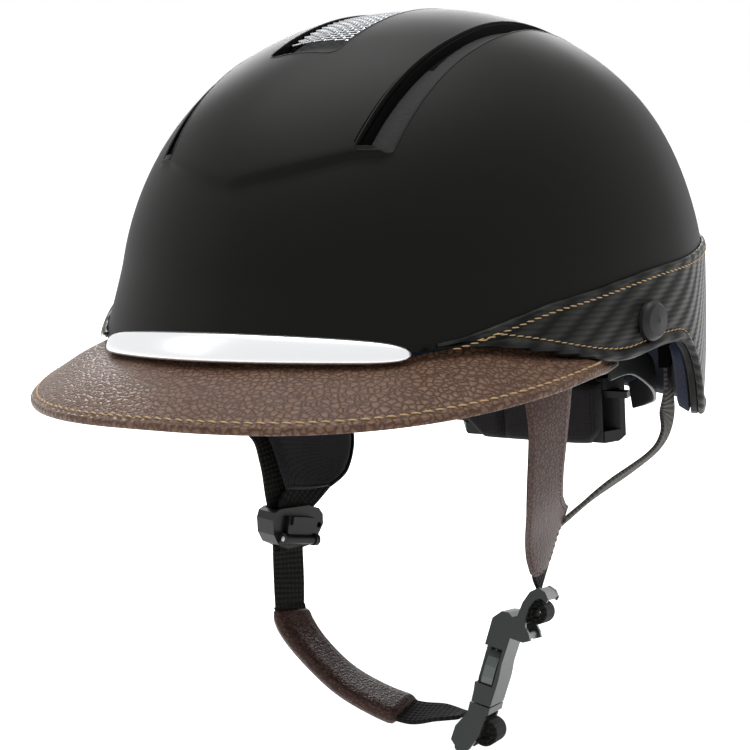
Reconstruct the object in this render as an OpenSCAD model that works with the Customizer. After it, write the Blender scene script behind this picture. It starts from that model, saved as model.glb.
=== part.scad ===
// Riding helmet: vented shell on a foam liner, leather peak, harness with a side-release
// buckle, and a dial-adjusted nape cradle. Millimetres; -Y is the front, +X the wearer's
// left, +Z up. The origin is the centre of the head opening, level with the widest line.

/* [Shell] */
// Half of the shell's width at its widest line
half_width = 108; // [104:0.5:112]
// Length of the shell ahead of the origin
front_length = 135.5; // [132:0.5:139]
// Length of the shell behind the origin
rear_length = 143; // [139:0.5:147]
// Height of the crown over the widest line
crown_height = 115; // [112:0.5:118]
// Shell wall
shell_wall = 2.4; // [2:0.1:2.8]
// Foam liner wall
liner_wall = 18; // [16:0.5:19]
// Comfort pad thickness
pad_wall = 6; // [4:0.5:7]

/* [Peak and trim] */
// Half of the peak's greatest width
peak_half_width = 105; // [102:0.5:108]
// Reach of the peak's tip ahead of its widest line
peak_reach = 148; // [142:0.5:152]
// How far back the peak's widest line lies
peak_back = 22.6; // [20:0.2:26]
// Peak core thickness
peak_core_wall = 1.2; // [1:0.1:1.6]
// Leather thickness
leather = 1; // [0.8:0.1:1.4]
// Half of the angle that the front trim spans
trim_half_angle = 27; // [24:0.5:29]

/* [Harness] */
// Width of the webbing
web_width = 15.6; // [14:0.2:15.8]
// Thickness of the webbing
web_thick = 1.6; // [1.2:0.1:1.8]
// Width of the leather strap cover
cover_width = 19; // [17:0.5:22]
// Width of the leather chin pad
chin_pad_width = 19.6; // [19:0.2:22]

/* [Buckle] */
// Width of the buckle
buckle_width = 21; // [20:0.5:22]
// Thickness of the buckle's socket
socket_thick = 8.4; // [8:0.2:9]

/* [Fit dial] */
// Number of pinion teeth
pinion_teeth = 10; // [10:1:10]
// Gear module
gear_module = 1; // [1:1:1]
// Knob radius
knob_r = 13; // [11:0.5:14]
// Shaft radius
shaft_r = 3; // [2.5:0.1:3.2]

/* [Hidden] */

plan_power = 1.84;
profile_power = 2.15;
skirt_flare = 0.1;
// Flare of the shell's lower front [mm]
front_flare = 8.6; // [6:0.2:10]
gap = 0.3;
liner_out = -(shell_wall + 0.9);
liner_in = liner_out - liner_wall;
pad_out = liner_in - 0.6;
pad_in = pad_out - pad_wall;
lining_in = -8;
front_edge = 9;
temple_edge = -6;
shell_black = [0.11, 0.11, 0.11];
brown = [0.26, 0.13, 0.09];
webbing_black = [0.08, 0.08, 0.09];
buckle_grey = [0.2, 0.22, 0.23];
navy = [0.13, 0.14, 0.19];

// ---- arithmetic ----
function lerp(a, b, t) = a + (b - a) * t;
function smooth(t) = let (u = min(1, max(0, t))) u * u * (3 - 2 * u);
function unit(v) = v / norm(v);
function sum(list) = [for (i = list) 1] * list;
function fold(phi) = let (a = (phi % 360 + 360) % 360) a > 180 ? 360 - a : a;
function at(v, i) = is_list(v) ? v[i] : v;
function quad(a, b, c, d) = [[a, b, c], [a, c, d]];
function bend(a, b, c, d, t) = 0.5 * (2 * b + (c - a) * t + (2 * a - 5 * b + 4 * c - d) * t * t
  + (3 * b - a - 3 * c + d) * t * t * t);
function spline(p, steps = 3) = let (n = len(p) - 1) concat([for (i = [0 : n - 1])
  for (k = [0 : steps - 1]) bend(p[max(i - 1, 0)], p[i], p[i + 1], p[min(i + 2, n)], k / steps)], [p[n]]);

// ---- the dome that every shell layer follows; phi runs from the front to the left ----
function plan(phi, off) = let (a = (cos(phi) > 0 ? front_length : rear_length) + off)
  1 / pow(pow(abs(sin(phi)) / (half_width + off), plan_power) + pow(abs(cos(phi)) / a, plan_power),
  1 / plan_power);
function level(z, off) = z <= 0 ? 1 - skirt_flare * pow(z / 100, 2)
  : pow(max(0, 1 - pow(min(1, z / (crown_height + off)), profile_power)), 1 / profile_power);
// The shell flares towards the peak and draws in a little round the back of the head
function swell(phi, z) = let (a = fold(phi))
  front_flare * pow(max(0, 1 - max(z, 4) / 33), 1.5) * smooth((72 - a) / 40)
  - smooth((a - 84) / 26) * (1.2 * smooth((80 - z) / 45) + 1.4 * smooth((24 - z) / 20));
function dome(phi, z, off) = let (r = plan(phi, off) * level(z, off) + swell(phi, z)) [r * sin(phi), -r * cos(phi), z];
function outward(phi, z) = unit(cross(dome(phi + 1, z, 0) - dome(phi - 1, z, 0),
  dome(phi, z + 1, 0) - dome(phi, z - 1, 0)));
function dome_top(x, y, off) = let (a = (y < 0 ? front_length : rear_length) + off,
  r = pow(pow(abs(x) / (half_width + off), plan_power) + pow(abs(y) / a, plan_power), 1 / plan_power))
  [x, y, (crown_height + off) * pow(max(0, 1 - pow(min(1, r), profile_power)), 1 / profile_power)];
// Lower edge of the shell: level at the front, lifted over the ears, deep at the nape
function edge_z(phi) = let (a = fold(phi)) lerp(front_edge, temple_edge, smooth((a - 32) / 36))
  + 1.6 * exp(-pow((a - 76) / 8, 2)) - 36 * smooth((a - 82) / 24) - 13 * smooth((a - 104) / 60);
function band_top(phi) = let (a = fold(phi)) 10.6 + 7 * smooth((a - 28) / 24) + 4.2 * smooth((a - 44) / 36);

// ---- solids ----
// A closed mesh, turned the right way out whichever way its faces were listed
module solid(points, faces) {
  v = sum([for (t = faces) points[t[0]] * cross(points[t[1]], points[t[2]])]);
  polyhedron(points, v > 0 ? [for (t = faces) [t[2], t[1], t[0]]] : faces);
}

// Keeps a cut curved body as one mesh
module meshed() resize([0, 0, 0]) children();

// A solid through rings of 2k points: k along one side, then k back along the other
module loft(rings) {
  n = len(rings[0]);
  last = (len(rings) - 1) * n;
  solid([for (r = rings) each r], concat(
    [for (i = [0 : n / 2 - 2]) each quad(i, i + 1, n - 2 - i, n - 1 - i)],
    [for (i = [0 : n / 2 - 2]) each quad(last + n - 1 - i, last + n - 2 - i, last + i + 1, last + i)],
    [for (j = [0 : len(rings) - 2]) for (i = [0 : n - 1]) let (a = j * n, b = (i + 1) % n)
      each quad(a + i, a + n + i, a + n + b, a + b)]));
}

// A whole dome-shaped layer between two offsets from the shell's surface
module dome_layer(out, inn, lift = 0, floor_z = -100, n = 60, k = 13) {
  function foot(phi) = max(edge_z(phi) + lift, floor_z);
  function ring(off, j) = [for (i = [0 : n - 1]) let (phi = 360 * i / n, lo = foot(phi))
    dome(phi, lo + (crown_height + off - lo) * sin(90 * j / k), off)];
  m = n * k;
  solid(concat([for (j = [0 : k - 1]) each ring(out, j)], [for (j = [0 : k - 1]) each ring(inn, j)],
    [[0, 0, crown_height + out], [0, 0, crown_height + inn]]), concat(
    [for (j = [0 : k - 2]) for (i = [0 : n - 1]) let (a = j * n, b = (i + 1) % n)
      each concat(quad(a + i, a + n + i, a + n + b, a + b), quad(m + a + i, m + a + b, m + a + n + b, m + a + n + i))],
    [for (i = [0 : n - 1]) let (b = (i + 1) % n) each concat(quad(i, b, m + b, m + i),
      [[m - n + i, 2 * m, m - n + b], [2 * m - n + b, 2 * m + 1, 2 * m - n + i]])]));
}

// Part of a layer, from angle a to b, between heights low(phi) and high(phi)
module patch(a, b, out, inn, lows, highs, steps, rows = 4) {
  loft([for (i = [0 : steps]) let (phi = lerp(a, b, i / steps), lo = at(lows, i), hi = at(highs, i))
    concat([for (j = [0 : rows]) dome(phi, lerp(lo, hi, j / rows), out)],
      [for (j = [rows : -1 : 0]) dome(phi, lerp(lo, hi, j / rows), inn)])]);
}
function along(a, b, steps) = [for (i = [0 : steps]) lerp(a, b, i / steps)];

// A flat strap along a path; across gives the direction of its width at each point
module ribbon(path, across, width, thick, shift = 0) {
  n = len(path) - 1;
  loft([for (i = [0 : n]) let (run = unit(path[min(i + 1, n)] - path[max(i - 1, 0)]),
    w = unit(across[i] - run * (across[i] * run)), up = cross(run, w), h = at(width, i) / 2,
    p = path[i] + up * shift)
    [p + w * h + up * thick / 2, p - w * h + up * thick / 2,
     p - w * h - up * thick / 2, p + w * h - up * thick / 2]]);
}

// Turns a profile drawn in x and z into a bar of the given width across y
module across_y(width) rotate([90, 0, 0]) translate([0, 0, -width / 2]) linear_extrude(width) children();
module bar_y(x, z, r, width) translate([x, 0, z]) rotate([90, 0, 0]) cylinder(r = r, h = width, center = true, $fn = 32);
function arc(c, r, from, to, n) = [for (i = [0 : n]) let (t = lerp(from, to, i / n)) c + r * [cos(t), sin(t)]];
function rounded(w, h, r) = concat(arc([w / 2 - r, h / 2 - r], r, 0, 90, 4), arc([r - w / 2, h / 2 - r], r, 90, 180, 4),
  arc([r - w / 2, r - h / 2], r, 180, 270, 4), arc([w / 2 - r, r - h / 2], r, 270, 360, 4));

// ---- vents ----
// Plan outline of a side slot on the left; grow widens it all round
function slot_outline(grow) = [[35 - grow, -102 - grow], [45.5 + grow, -97 - grow], [48.3 + grow, -58],
  [51 + grow, -15], [52 + grow, 32], [50 + grow, 36 + grow], [47 - grow, 36 + grow], [44 - grow, 20],
  [42 - grow, -15], [39.5 - grow, -58]];
vent_half_width = 13.5;
vent_front = -73;
vent_rear = 14;
module vent_prism(grow) translate([0, (vent_front + vent_rear) / 2, 60]) linear_extrude(80)
  polygon(rounded(2 * vent_half_width + 2 * grow, vent_rear - vent_front + 2 * grow, 5));
slot_inner = [[-102, 35], [-58, 39.5], [-15, 42], [20, 44], [36, 47]];
slot_outer = [[-102, 45], [-58, 48.3], [-15, 51], [36, 52]];
// A trough under a vent, from the top offset down to a floor, open at both ends
module trough(left_edge, right_edge, from, to, steps, top, depth, wall, side = 1) {
  loft([for (i = [0 : steps]) let (y = lerp(from, to, i / steps), a = lookup(y, left_edge) + gap,
    b = lookup(y, right_edge) - gap, rim = [[a, 0], [a, depth], [b, depth], [b, 0], [b - wall, 0],
    [b - wall, depth - wall], [a + wall, depth - wall], [a + wall, 0]])
    [for (p = rim) dome_top(side * p.x, y, top) - [0, 0, p.y]]]);
}
module slot_prism(side, grow) translate([0, 0, 50]) linear_extrude(90) scale([side, 1]) polygon(slot_outline(grow));

// ---- fasteners through the wall ----
rivet_phi = 72;
rivet_z = 5;
module at_rivet(side) {
  p = dome(rivet_phi, rivet_z, 0);
  n = outward(rivet_phi, rivet_z);
  translate([side * p.x, p.y, p.z]) rotate([0, acos(n.z), side > 0 ? atan2(n.y, n.x) : 180 - atan2(n.y, n.x)])
    children();
}
front_anchor_phi = 50;
module at_front_anchor(side) {
  p = dome(front_anchor_phi, 4, -11.6);
  translate([side * p.x, p.y, p.z]) rotate([0, 0, side > 0 ? front_anchor_phi - 90 : 270 - front_anchor_phi]) children();
}
rear_anchor = [84.8, 41, -16.6];
module at_rear_anchor(side) translate([side * rear_anchor.x, rear_anchor.y, rear_anchor.z])
  rotate([0, 0, side > 0 ? 12 : 168]) children();

// ---- shell ----
module outer_shell() color(shell_black) meshed() difference() {
  dome_layer(0, -shell_wall);
  vent_prism(0);
  for (side = [-1, 1]) {
    slot_prism(side, 0);
    at_rivet(side) cylinder(r = 2.8, h = 20, center = true, $fn = 24);
  }
}

module foam_liner() color([0.2, 0.2, 0.21]) meshed() difference() {
  dome_layer(liner_out, liner_in, lift = 0.8, floor_z = -7, k = 10);
  for (side = [-1, 1]) {
    intersection() {
      slot_prism(side, 1.2);
      dome_layer(2, -13.5, lift = 30, n = 40, k = 8);
    }
    at_rivet(side) cylinder(r = 8.5, h = 22, center = true, $fn = 24);
    at_front_anchor(side) translate([-1, 0, 0]) cube([10, 26, 30], center = true);
  }
  intersection() {
    vent_prism(1.2);
    dome_layer(2, -11.5, lift = 30, n = 40, k = 8);
  }
}

module front_trim() color([0.75, 0.76, 0.77]) {
  steps = 16;
  loft([for (i = [0 : steps]) let (phi = lerp(-trim_half_angle, trim_half_angle, i / steps), u = phi / trim_half_angle,
    pinch = sqrt(1 - pow(abs(u), 8) * 0.75), mid = 13.3 - 4.8 * pow(abs(u), 1.8), h = (4.25 - 1.4 * u * u) * pinch)
    concat([for (t = [-90, -50, 0, 50, 90]) dome(phi, mid + h * sin(t), 0.2 + 2.3 * pinch * pow(cos(t), 0.5))],
      [for (t = [90, 50, 0, -50, -90]) dome(phi, mid + h * sin(t), 0.1)])]);
}

module side_band() color([0.16, 0.16, 0.17]) {
  steps = 50;
  angles = along(30, 330, steps);
  meshed() difference() {
    patch(30, 330, 1.6, 0.3, [for (a = angles) edge_z(a) + 0.1], [for (a = angles) band_top(a)], steps);
    for (side = [-1, 1]) at_rivet(side) cylinder(r = 2.8, h = 20, center = true, $fn = 24);
  }
}

// ---- vents and their inserts ----
module vent_grille() color([0.72, 0.73, 0.74]) meshed() difference() {
  rows = 9;
  pitch = [6.6, 8.3];
  front = -62;
  loft([for (i = [0 : rows]) let (y = front + i * pitch.y)
    concat([for (j = [-2 : 2]) dome_top(j * pitch.x, y, -2.8)], [for (j = [2 : -1 : -2]) dome_top(j * pitch.x, y, -4.2)])]);
  for (row = [0 : rows - 1]) for (col = [-1.5 : 1.5])
    translate([col * pitch.x, front + (row + 0.5) * pitch.y, 60]) linear_extrude(80)
      polygon([[-2.5, 0], [0, -3.3], [2.5, 0], [0, 3.3]]);
}

module vent_intake() color([0.05, 0.05, 0.05]) trough([[0, -vent_half_width]], [[0, vent_half_width]],
  vent_front + gap, vent_rear - 0.8, 10, -4.6, 5.8, 1.2);

module vent_channel(side) color([0.04, 0.04, 0.04]) trough(slot_inner, slot_outer, -96, 31, 14, -1, 10.5, 1.4, side);
module left_vent_channel() vent_channel(1);
module right_vent_channel() vent_channel(-1);

// ---- peak ----
peak_end = 85.5;
peak_steps = 26;
peak_rows = 5;
function peak_pinch(t) = smooth((abs(t) - 72) / 13.5);
function peak_rim(t) = let (s = pow(abs(sin(t)), 0.835), y = peak_reach * pow(cos(t), 0.835), k = peak_pinch(t))
  [sign(t) * peak_half_width * s * (1 - 0.09 * k), -peak_back - y, 8.5 - y * 0.074 - 8.15 * s * s - 6 * k];
function peak_root(t) = let (phi = t * 62 / peak_end, dip = 1.8 * exp(-pow((abs(phi) - 24) / 9, 2)))
  dome(phi, edge_z(phi) - 1.2 - dip, -4);
function rim_out(t) = let (d = peak_rim(t) - peak_root(t)) unit([d.x, d.y, 0]);
// A point of the peak: s runs from the root to the rim, drop is the depth under its top
function peak_point(t, s, drop) = lerp(peak_root(t), peak_rim(t), s) + [0, 0, 1.2 * sin(180 * s) - drop];
module peak_layer(top, bottom, reach = 1, lip = 0) {
  loft([for (i = [0 : peak_steps]) let (t = lerp(-peak_end, peak_end, i / peak_steps), o = rim_out(t)) concat(
    [for (j = [0 : peak_rows]) peak_point(t, reach * j / peak_rows, top)],
    lip > 0 ? [peak_point(t, 1, top) + o * leather, peak_point(t, 1, lip) + o * leather,
      peak_point(t, 1, lip) + o * 0.1, peak_point(t, 1, bottom) + o * 0.1] : [],
    [for (j = [peak_rows : -1 : 0]) peak_point(t, reach * j / peak_rows, bottom)])]);
}
module peak_leather() color(brown) peak_layer(0, leather, lip = leather + peak_core_wall + 0.9);
module peak_core() color([0.1, 0.1, 0.1]) peak_layer(leather + 0.3, leather + peak_core_wall, reach = 0.985);
module peak_lining() color([0.3, 0.32, 0.3]) peak_layer(leather + peak_core_wall + 0.3, leather + peak_core_wall + 0.9,
  reach = 0.985);

// ---- rivets ----
module rivet(side) color([0.18, 0.18, 0.19]) at_rivet(side) rotate_extrude($fn = 48)
  polygon(concat([[0, -6.2], [2.5, -6.2], [2.5, 1.8], [7, 1.8]], arc([3.4, 1.8], 3.6, 0, 60, 3), [[0, 5.4]]));
module left_rivet() rivet(1);
module right_rivet() rivet(-1);
module rivet_washer(side) color([0.6, 0.6, 0.62]) at_rivet(side) translate([0, 0, -6]) difference() {
  cylinder(r = 7, h = 1.6, $fn = 48);
  translate([0, 0, -1]) cylinder(r = 2.55, h = 4, $fn = 32);
}
module left_rivet_washer() rivet_washer(1);
module right_rivet_washer() rivet_washer(-1);

// ---- inner padding ----
module brow_pad() color(navy) patch(-62, 62, pad_out, pad_in, 11, 36, 18);
module side_pad(side) color(navy) patch(side * 68, side * 150, pad_out, pad_in, 8, 36, 14);
module left_side_pad() side_pad(1);
module right_side_pad() side_pad(-1);
module crown_pad() color(navy) for (turn = [0, 90, 180, 270]) patch(turn - 26, turn + 26, pad_out, pad_in, 50, 80, 8);
module nape_lining() color(navy) {
  steps = 30;
  angles = along(89, 271, steps);
  patch(89, 271, liner_out, lining_in, [for (a = angles) edge_z(a) + 0.8], -7.8, steps);
}

// ---- strap anchors ----
// A folded tab whose pocket opens downward round the webbing's end
module strap_tab(height) color([0.12, 0.12, 0.12]) difference() {
  cube([4.4, 19.6, height], center = true);
  translate([0, 0, -height / 2]) cube([web_thick + 0.3, web_width + 0.8, 16], center = true);
}
module left_front_anchor() at_front_anchor(1) strap_tab(18);
module right_front_anchor() at_front_anchor(-1) strap_tab(18);
module left_rear_anchor() at_rear_anchor(1) strap_tab(18);
module right_rear_anchor() at_rear_anchor(-1) strap_tab(18);

// ---- harness ----
front_tab = dome(front_anchor_phi, 4, -11.6);
tab_across = [-sin(front_anchor_phi - 90), cos(front_anchor_phi - 90), 0];
left_front_path = [[front_tab.x, front_tab.y, -1], [front_tab.x, front_tab.y, -5], [front_tab.x, front_tab.y, -9],
  [79.2, -64, -24], [73, -54, -51], [66.5, -40, -71], [61.5, -31.5, -86.5],
  [59.3, -29.2, -92.6]];
left_front_across = [tab_across, tab_across, tab_across, [0.45, 0.9, 0.2], [0.35, 0.92, 0.3], [0.2, 0.92, 0.2],
  [-0.05, 0.93, -0.05], [-0.19, 0.93, -0.32]];
left_rear_path = [[68, -21, -71.5], [73.5, -6, -65], [80, 20, -60.7], [84, 32, -55], [84.6, 39.5, -46], [84.8, 41, -34],
  [84.8, 41, -26], [84.8, 41, -21]];
rear_across = [-0.21, 0.98, 0];
left_rear_across = [[-0.65, 0.44, -0.62], [-0.65, 0.44, -0.62], [-0.6, 0.5, -0.6], [-0.3, 0.8, -0.5],
  [0, 1, -0.3], rear_across, rear_across, rear_across];
right_front_path = [[-front_tab.x, front_tab.y, -1], [-front_tab.x, front_tab.y, -5], [-front_tab.x, front_tab.y, -9],
  [-65.4, -46.6, -26], [-58.8, -32.4, -42], [-55.6, -30.7, -56], [-53.7, -31.3, -70], [-52, -31.4, -83], [-50.8, -34, -98], [-48.5, -38.5, -112]];
right_tab_across = [-tab_across.x, tab_across.y, 0];
right_front_across = [right_tab_across, right_tab_across, right_tab_across, [0.3, 0.9, 0.2], [0.2, 0.95, 0.2],
  [0.2, 0.95, 0.1],
  [0.25, 0.97, 0], [0.25, 0.97, 0], [0.25, 0.97, 0], [0.2, 0.97, 0]];
right_rear_path = [[-48.2, -31.8, -93], [-49.3, -31.2, -83], [-49, -29.5, -75.5], [-48.4, -18, -69.4], [-52, 0, -69],
  [-60, 22, -63.8], [-71, 38, -55], [-80.5, 42, -45.6], [-84.4, 41.4, -36], [-84.8, 41, -26], [-84.8, 41, -21]];
right_rear_across = [[0.25, 0.97, 0], [0.25, 0.97, 0], [0.25, 0.9, -0.25], [0.4, 0.6, -0.6], [0.55, 0.5, -0.62],
  [0.65, 0.44, -0.62], [0.5, 0.6, -0.6], [0.2, 0.9, -0.4], [0.21, 0.98, 0], [0.21, 0.98, 0], [0.21, 0.98, 0]];
module strap(path, across) color(webbing_black) ribbon(spline(path), spline(across), web_width, web_thick);
module left_front_webbing() strap(left_front_path, left_front_across);
module left_rear_webbing() strap(left_rear_path, left_rear_across);
module right_front_webbing() strap(right_front_path, right_front_across);
module right_rear_webbing() strap(right_rear_path, right_rear_across);

// Leather cover on the left strap, flared at the fork and tapered to a tongue
cover_widths = [19, 18.5, 18.5, 18.5, 18.5, 18.5, 19, 20, 22, 22, 19, 16, 9];
cover_shift = web_thick / 2 + leather / 2 + 4 * gap;
module left_strap_cover() color(brown) {
  path = [for (i = [2 : 6]) left_front_path[i]];
  across = [for (i = [2 : 6]) left_front_across[i]];
  ribbon(spline(path, 3), spline(across, 3), cover_widths * cover_width / 19, leather, shift = cover_shift);
}

// Padded triangle over the fork of the right straps, on the side that faces the head
module right_strap_pad() color([0.1, 0.1, 0.1]) {
  front = [[-58.2, -38.8, -40], [-56, -37.3, -50], [-53.6, -36.6, -60], [-52.4, -35.5, -68]];
  rear = [[-66.8, 41, -59.4], [-55, 24.5, -67.2], [-48, 4, -72.6], [-46.2, -14, -73]];
  up = [4.2, 0, 1.5];
  out = [2.2, 0, 0.8];
  loft([for (i = [0 : 3]) [front[i] + up, rear[i] + up, rear[i] + up + out, front[i] + up + out]]);
}

// ---- strap divider with its cam lock; local x faces the head, y runs along the width ----
divider_pos = [-50.9, -31.4, -83];
divider_roll = -17;
module at_divider() translate(divider_pos) rotate([0, 0, -14.5]) children();
module at_lock() at_divider() rotate([divider_roll, 0, 0]) translate([7.8, 0, -4.6]) rotate([90, 0, 0]) children();
module divider_pin() color([0.5, 0.5, 0.52]) at_lock() cylinder(r = 1, h = 18.4, center = true, $fn = 32);
module strap_divider() color([0.17, 0.19, 0.19]) difference() {
  union() {
    at_divider() rotate([90, 0, 90]) translate([0, 0, -4.6]) linear_extrude(10) polygon([[-11, 8.8], [-12.4, 6],
      [-12.6, 0], [-10.6, -4.6], [-6, -7.6], [6, -8.6], [11, -6], [14, -2.4], [14.2, 1.6], [12.4, 4.6], [7, 7.2],
      [-8, 9.6]]);
    at_lock() for (y = [-9.2, 7.2]) translate([0, 0, y]) {
      translate([-3.2, -2.4, 0]) cube([3.2, 4.8, 2]);
      cylinder(r = 2.4, h = 2, $fn = 32);
    }
  }
  at_divider() translate([-3.2, -9, -20]) cube([6.9, 18.4, 40]);
  at_divider() rotate([90, 0, 90]) translate([0, 0, -0.4]) linear_extrude(4.9) polygon([[6, -3], [11, 0], [15, 3], [15, 20], [6, 20]]);
  at_divider() translate([0, 11.6, -2.4]) rotate([0, 90, 0]) cylinder(r = 1.2, h = 40, center = true, $fn = 32);
  at_lock() cylinder(r = 1.05, h = 40, center = true, $fn = 32);
}
module divider_lock() color([0.22, 0.25, 0.25]) at_lock() difference() {
  union() {
    cylinder(r = 1.9, h = 13.8, center = true, $fn = 32);
    translate([-1.9, 0, -6.9]) cube([1.7, 9, 13.8]);
    translate([-1.9, 5.6, -5.6]) cube([2.8, 3.4, 11.2]);
  }
  cylinder(r = 1.05, h = 40, center = true, $fn = 32);
}

// ---- buckle; local x faces away from the head, y runs to the back, z up the strap ----
buckle_pos = [45.6, -41.8, -121.6];
buckle_tilt = [-19, 14, 7];
inner_width = web_width + 0.6;
module at_buckle() translate(buckle_pos) rotate(buckle_tilt) children();
module cheeks() difference() {
  across_y(buckle_width) children();
  across_y(inner_width) square(200, center = true);
}
module buckle_socket() color(buckle_grey) at_buckle() {
  difference() {
    across_y(buckle_width) polygon([[-3.4, -16], [3.9, -16], [socket_thick / 2, -6], [3.7, 0],
      [socket_thick / 2, 12], [3.4, 17], [1, 18.6], [-1.6, 18.2], [-socket_thick / 2, 15], [-socket_thick / 2, -8],
      [-3.6, -12]]);
    translate([-2.6, -8.9, -20]) cube([5.2, 17.8, 29]);
    translate([-2.6, -20, -9]) cube([5.2, 40, 14]);
    for (y = [-20, 5.6]) translate([-20, y, -9]) cube([22.6, 14.4, 14]);
  }
  cheeks() polygon([[2, 10], [9, 9.8], [11.4, 11.2], [10.2, 13.4], [8.4, 15.2], [7.5, 18], [7.6, 22.4], [8.8, 25.6], [10.8, 27],
    [13.2, 26], [13.6, 27.4], [11.8, 29.6], [9, 30.4], [6.4, 28], [4.9, 23.6], [4.4, 18.4], [2, 17]]);
  across_y(buckle_width) polygon([[7, 26.2], [8.6, 27.7], [10.6, 28], [13, 26.7], [13.3, 27.8], [11.6, 29.5], [9.2, 30.2],
    [7.2, 28.8]]);
  bar_y(8.4, 11.6, 1.5, buckle_width - 1);
  bar_y(6.2, 20.8, 1.4, buckle_width - 1);
}
module webbing_roll(x, z, bar_x, bar_z) across_y(web_width) difference() {
  translate([x, z]) circle(r = 5, $fn = 48);
  translate([bar_x, bar_z]) circle(r = 1.5, $fn = 32);
}
module upper_roll() color(webbing_black) at_buckle() webbing_roll(9.9, 20.8, 6.2, 20.8);
module buckle_plug() color(buckle_grey) at_buckle() {
  across_y(buckle_width) polygon([[-3.6, -20.5], [-3.8, -16.5], [3.9, -16.5], [4, -19], [2.6, -20.5]]);
  cheeks() polygon([[-3.6, -20.3], [3.2, -20.3], [2.8, -27], [0.6, -33], [-1.8, -35.6], [-6.8, -31.6], [-6.6, -26.4]]);
  bar_y(-3.4, -33.4, 1.5, buckle_width - 1);
  bar_y(0.6, -26.4, 1.4, buckle_width - 1);
  translate([-1.2, -2.2, -17]) cube([2.4, 4.4, 21]);
}
module lower_roll() color(webbing_black) at_buckle() webbing_roll(4, -26.4, 0.6, -26.4);
prong_y = 6.8;
prong_z = -15;
module prong(side) color([0.5, 0.52, 0.53]) at_buckle() translate([-2.1, 0, 0]) rotate([90, 0, 90]) linear_extrude(4.2)
  scale([side, 1]) polygon([[5.9, -15.9], [7.7, -15.9], [7.9, -8.6], [9.9, -8.4], [10.3, -6], [10.3, -2], [9.2, 1.4], [7.2, 3.4],
    [6, 3], [5.9, -8]]);
module front_prong() prong(-1);
module rear_prong() prong(1);

// ---- chin strap ----
chin_path = [[32.2, -47.2, -144], [24, -49, -145], [12, -49.8, -146.8], [-4, -49.2, -143.4], [-20, -47.5, -138], [-34, -45, -129],
  [-43, -42.5, -121], [-47.4, -40, -114.6]];
chin_across = [[-0.2, 0.92, -0.32], [-0.1, 0.97, 0.05], [0, 0.95, 0.25], [0, 0.95, 0.3], [0, 1, 0.25], [0.1, 1, 0.1], [0.2, 0.97, 0],
  [0.2, 0.97, 0]];
module chin_webbing() color(webbing_black) ribbon(spline(chin_path), spline(chin_across), web_width, web_thick);
module chin_pad() color(brown) meshed() difference() {
  path = spline(chin_path);
  across = spline(chin_across);
  n = len(path) - 1;
  inside = [for (i = [6 : n]) path[i]];
  inside_across = [for (i = [6 : n]) across[i]];
  ribbon([for (i = [7 : n - 1]) path[i]], [for (i = [7 : n - 1]) across[i]], chin_pad_width, 5.4);
  ribbon(inside, inside_across, web_width + 0.8, web_thick + 0.8);
}

// ---- fit system ----
side_strap_path = [[84.6, -20, -13.6], [84.6, 2, -16], [81.5, 30, -27], [72, 62, -40], [59, 89, -49], [47.2, 102, -54.6]];
module side_strap(side) color([0.15, 0.16, 0.15]) {
  path = spline([for (p = side_strap_path) [side * p.x, p.y, p.z]]);
  ribbon(path, [for (p = path) [0, 0, 1]], 12, 1.2);
}
module left_side_strap() side_strap(1);
module right_side_strap() side_strap(-1);

dial_z = -62;
pitch_r = pinion_teeth * gear_module / 2;
addendum = 0.7;
dedendum = 1;
backlash = 0.16;
pressure = 20;
function involute(base, r) = let (a = acos(min(1, base / r))) tan(a) * 180 / PI - a;
function tooth_half_angle(r) = 90 / pinion_teeth - backlash / pitch_r * 90 / PI
  + involute(pitch_r * cos(pressure), pitch_r) - involute(pitch_r * cos(pressure), max(r, pitch_r * cos(pressure)));
function tooth_flank(side) = [for (i = side > 0 ? [4 : -1 : 0] : [0 : 4]) let (r = lerp(pitch_r - dedendum, pitch_r + addendum, i / 4))
  [r, side * tooth_half_angle(r)]];
module pinion_outline() polygon([for (k = [0 : pinion_teeth - 1]) for (p = concat(tooth_flank(-1), tooth_flank(1)))
  let (a = 90 + 360 / pinion_teeth * (k + 0.5) + p.y) p.x * [cos(a), sin(a)]]);
// A rack whose teeth point down at the pitch line z = 0, one tooth centred on x = 0
rack_addendum = 0.5;
module rack_outline(from, to, count) {
  pitch = PI * gear_module;
  tip = pitch / 4 - backlash - rack_addendum * tan(pressure);
  foot = pitch / 4 - backlash + dedendum * tan(pressure);
  polygon(concat([[from, dedendum]], [for (k = [-count : count]) each [[k * pitch - foot, dedendum],
    [k * pitch - tip, -rack_addendum], [k * pitch + tip, -rack_addendum], [k * pitch + foot, dedendum]]],
    [[to, dedendum], [to, 4], [from, 4]]));
}
module cradle_outline(grow_front = 0) polygon([[-35, 99], [35, 99], [42, 107.5], [36, 111.4], [20, 113], [-20, 113],
  [-36, 111.4], [-42, 107.5]]);
module cradle_housing() color([0.24, 0.26, 0.24]) difference() {
  translate([0, 0, -77]) linear_extrude(30) cradle_outline();
  translate([-60, 98, -71.6]) cube([120, 7.4, 19.2]);
  translate([0, 100, dial_z]) rotate([-90, 0, 0]) cylinder(r = shaft_r + 0.05, h = 30, $fn = 48);
  // Slanted lower corners
  for (c = [[-44, 17], [44, 9]]) translate([c.x, 112, -79]) rotate([0, 45, 0]) cube([c.y, 40, c.y], center = true);
}
module cradle_cover() color([0.15, 0.15, 0.15]) translate([0, 98.8, 0]) rotate([90, 0, 0]) linear_extrude(1.5)
  polygon([[-34.5, -47.5], [-34.5, -69], [-27, -76.5], [34.5, -76.5], [34.5, -47.5]]);
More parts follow.
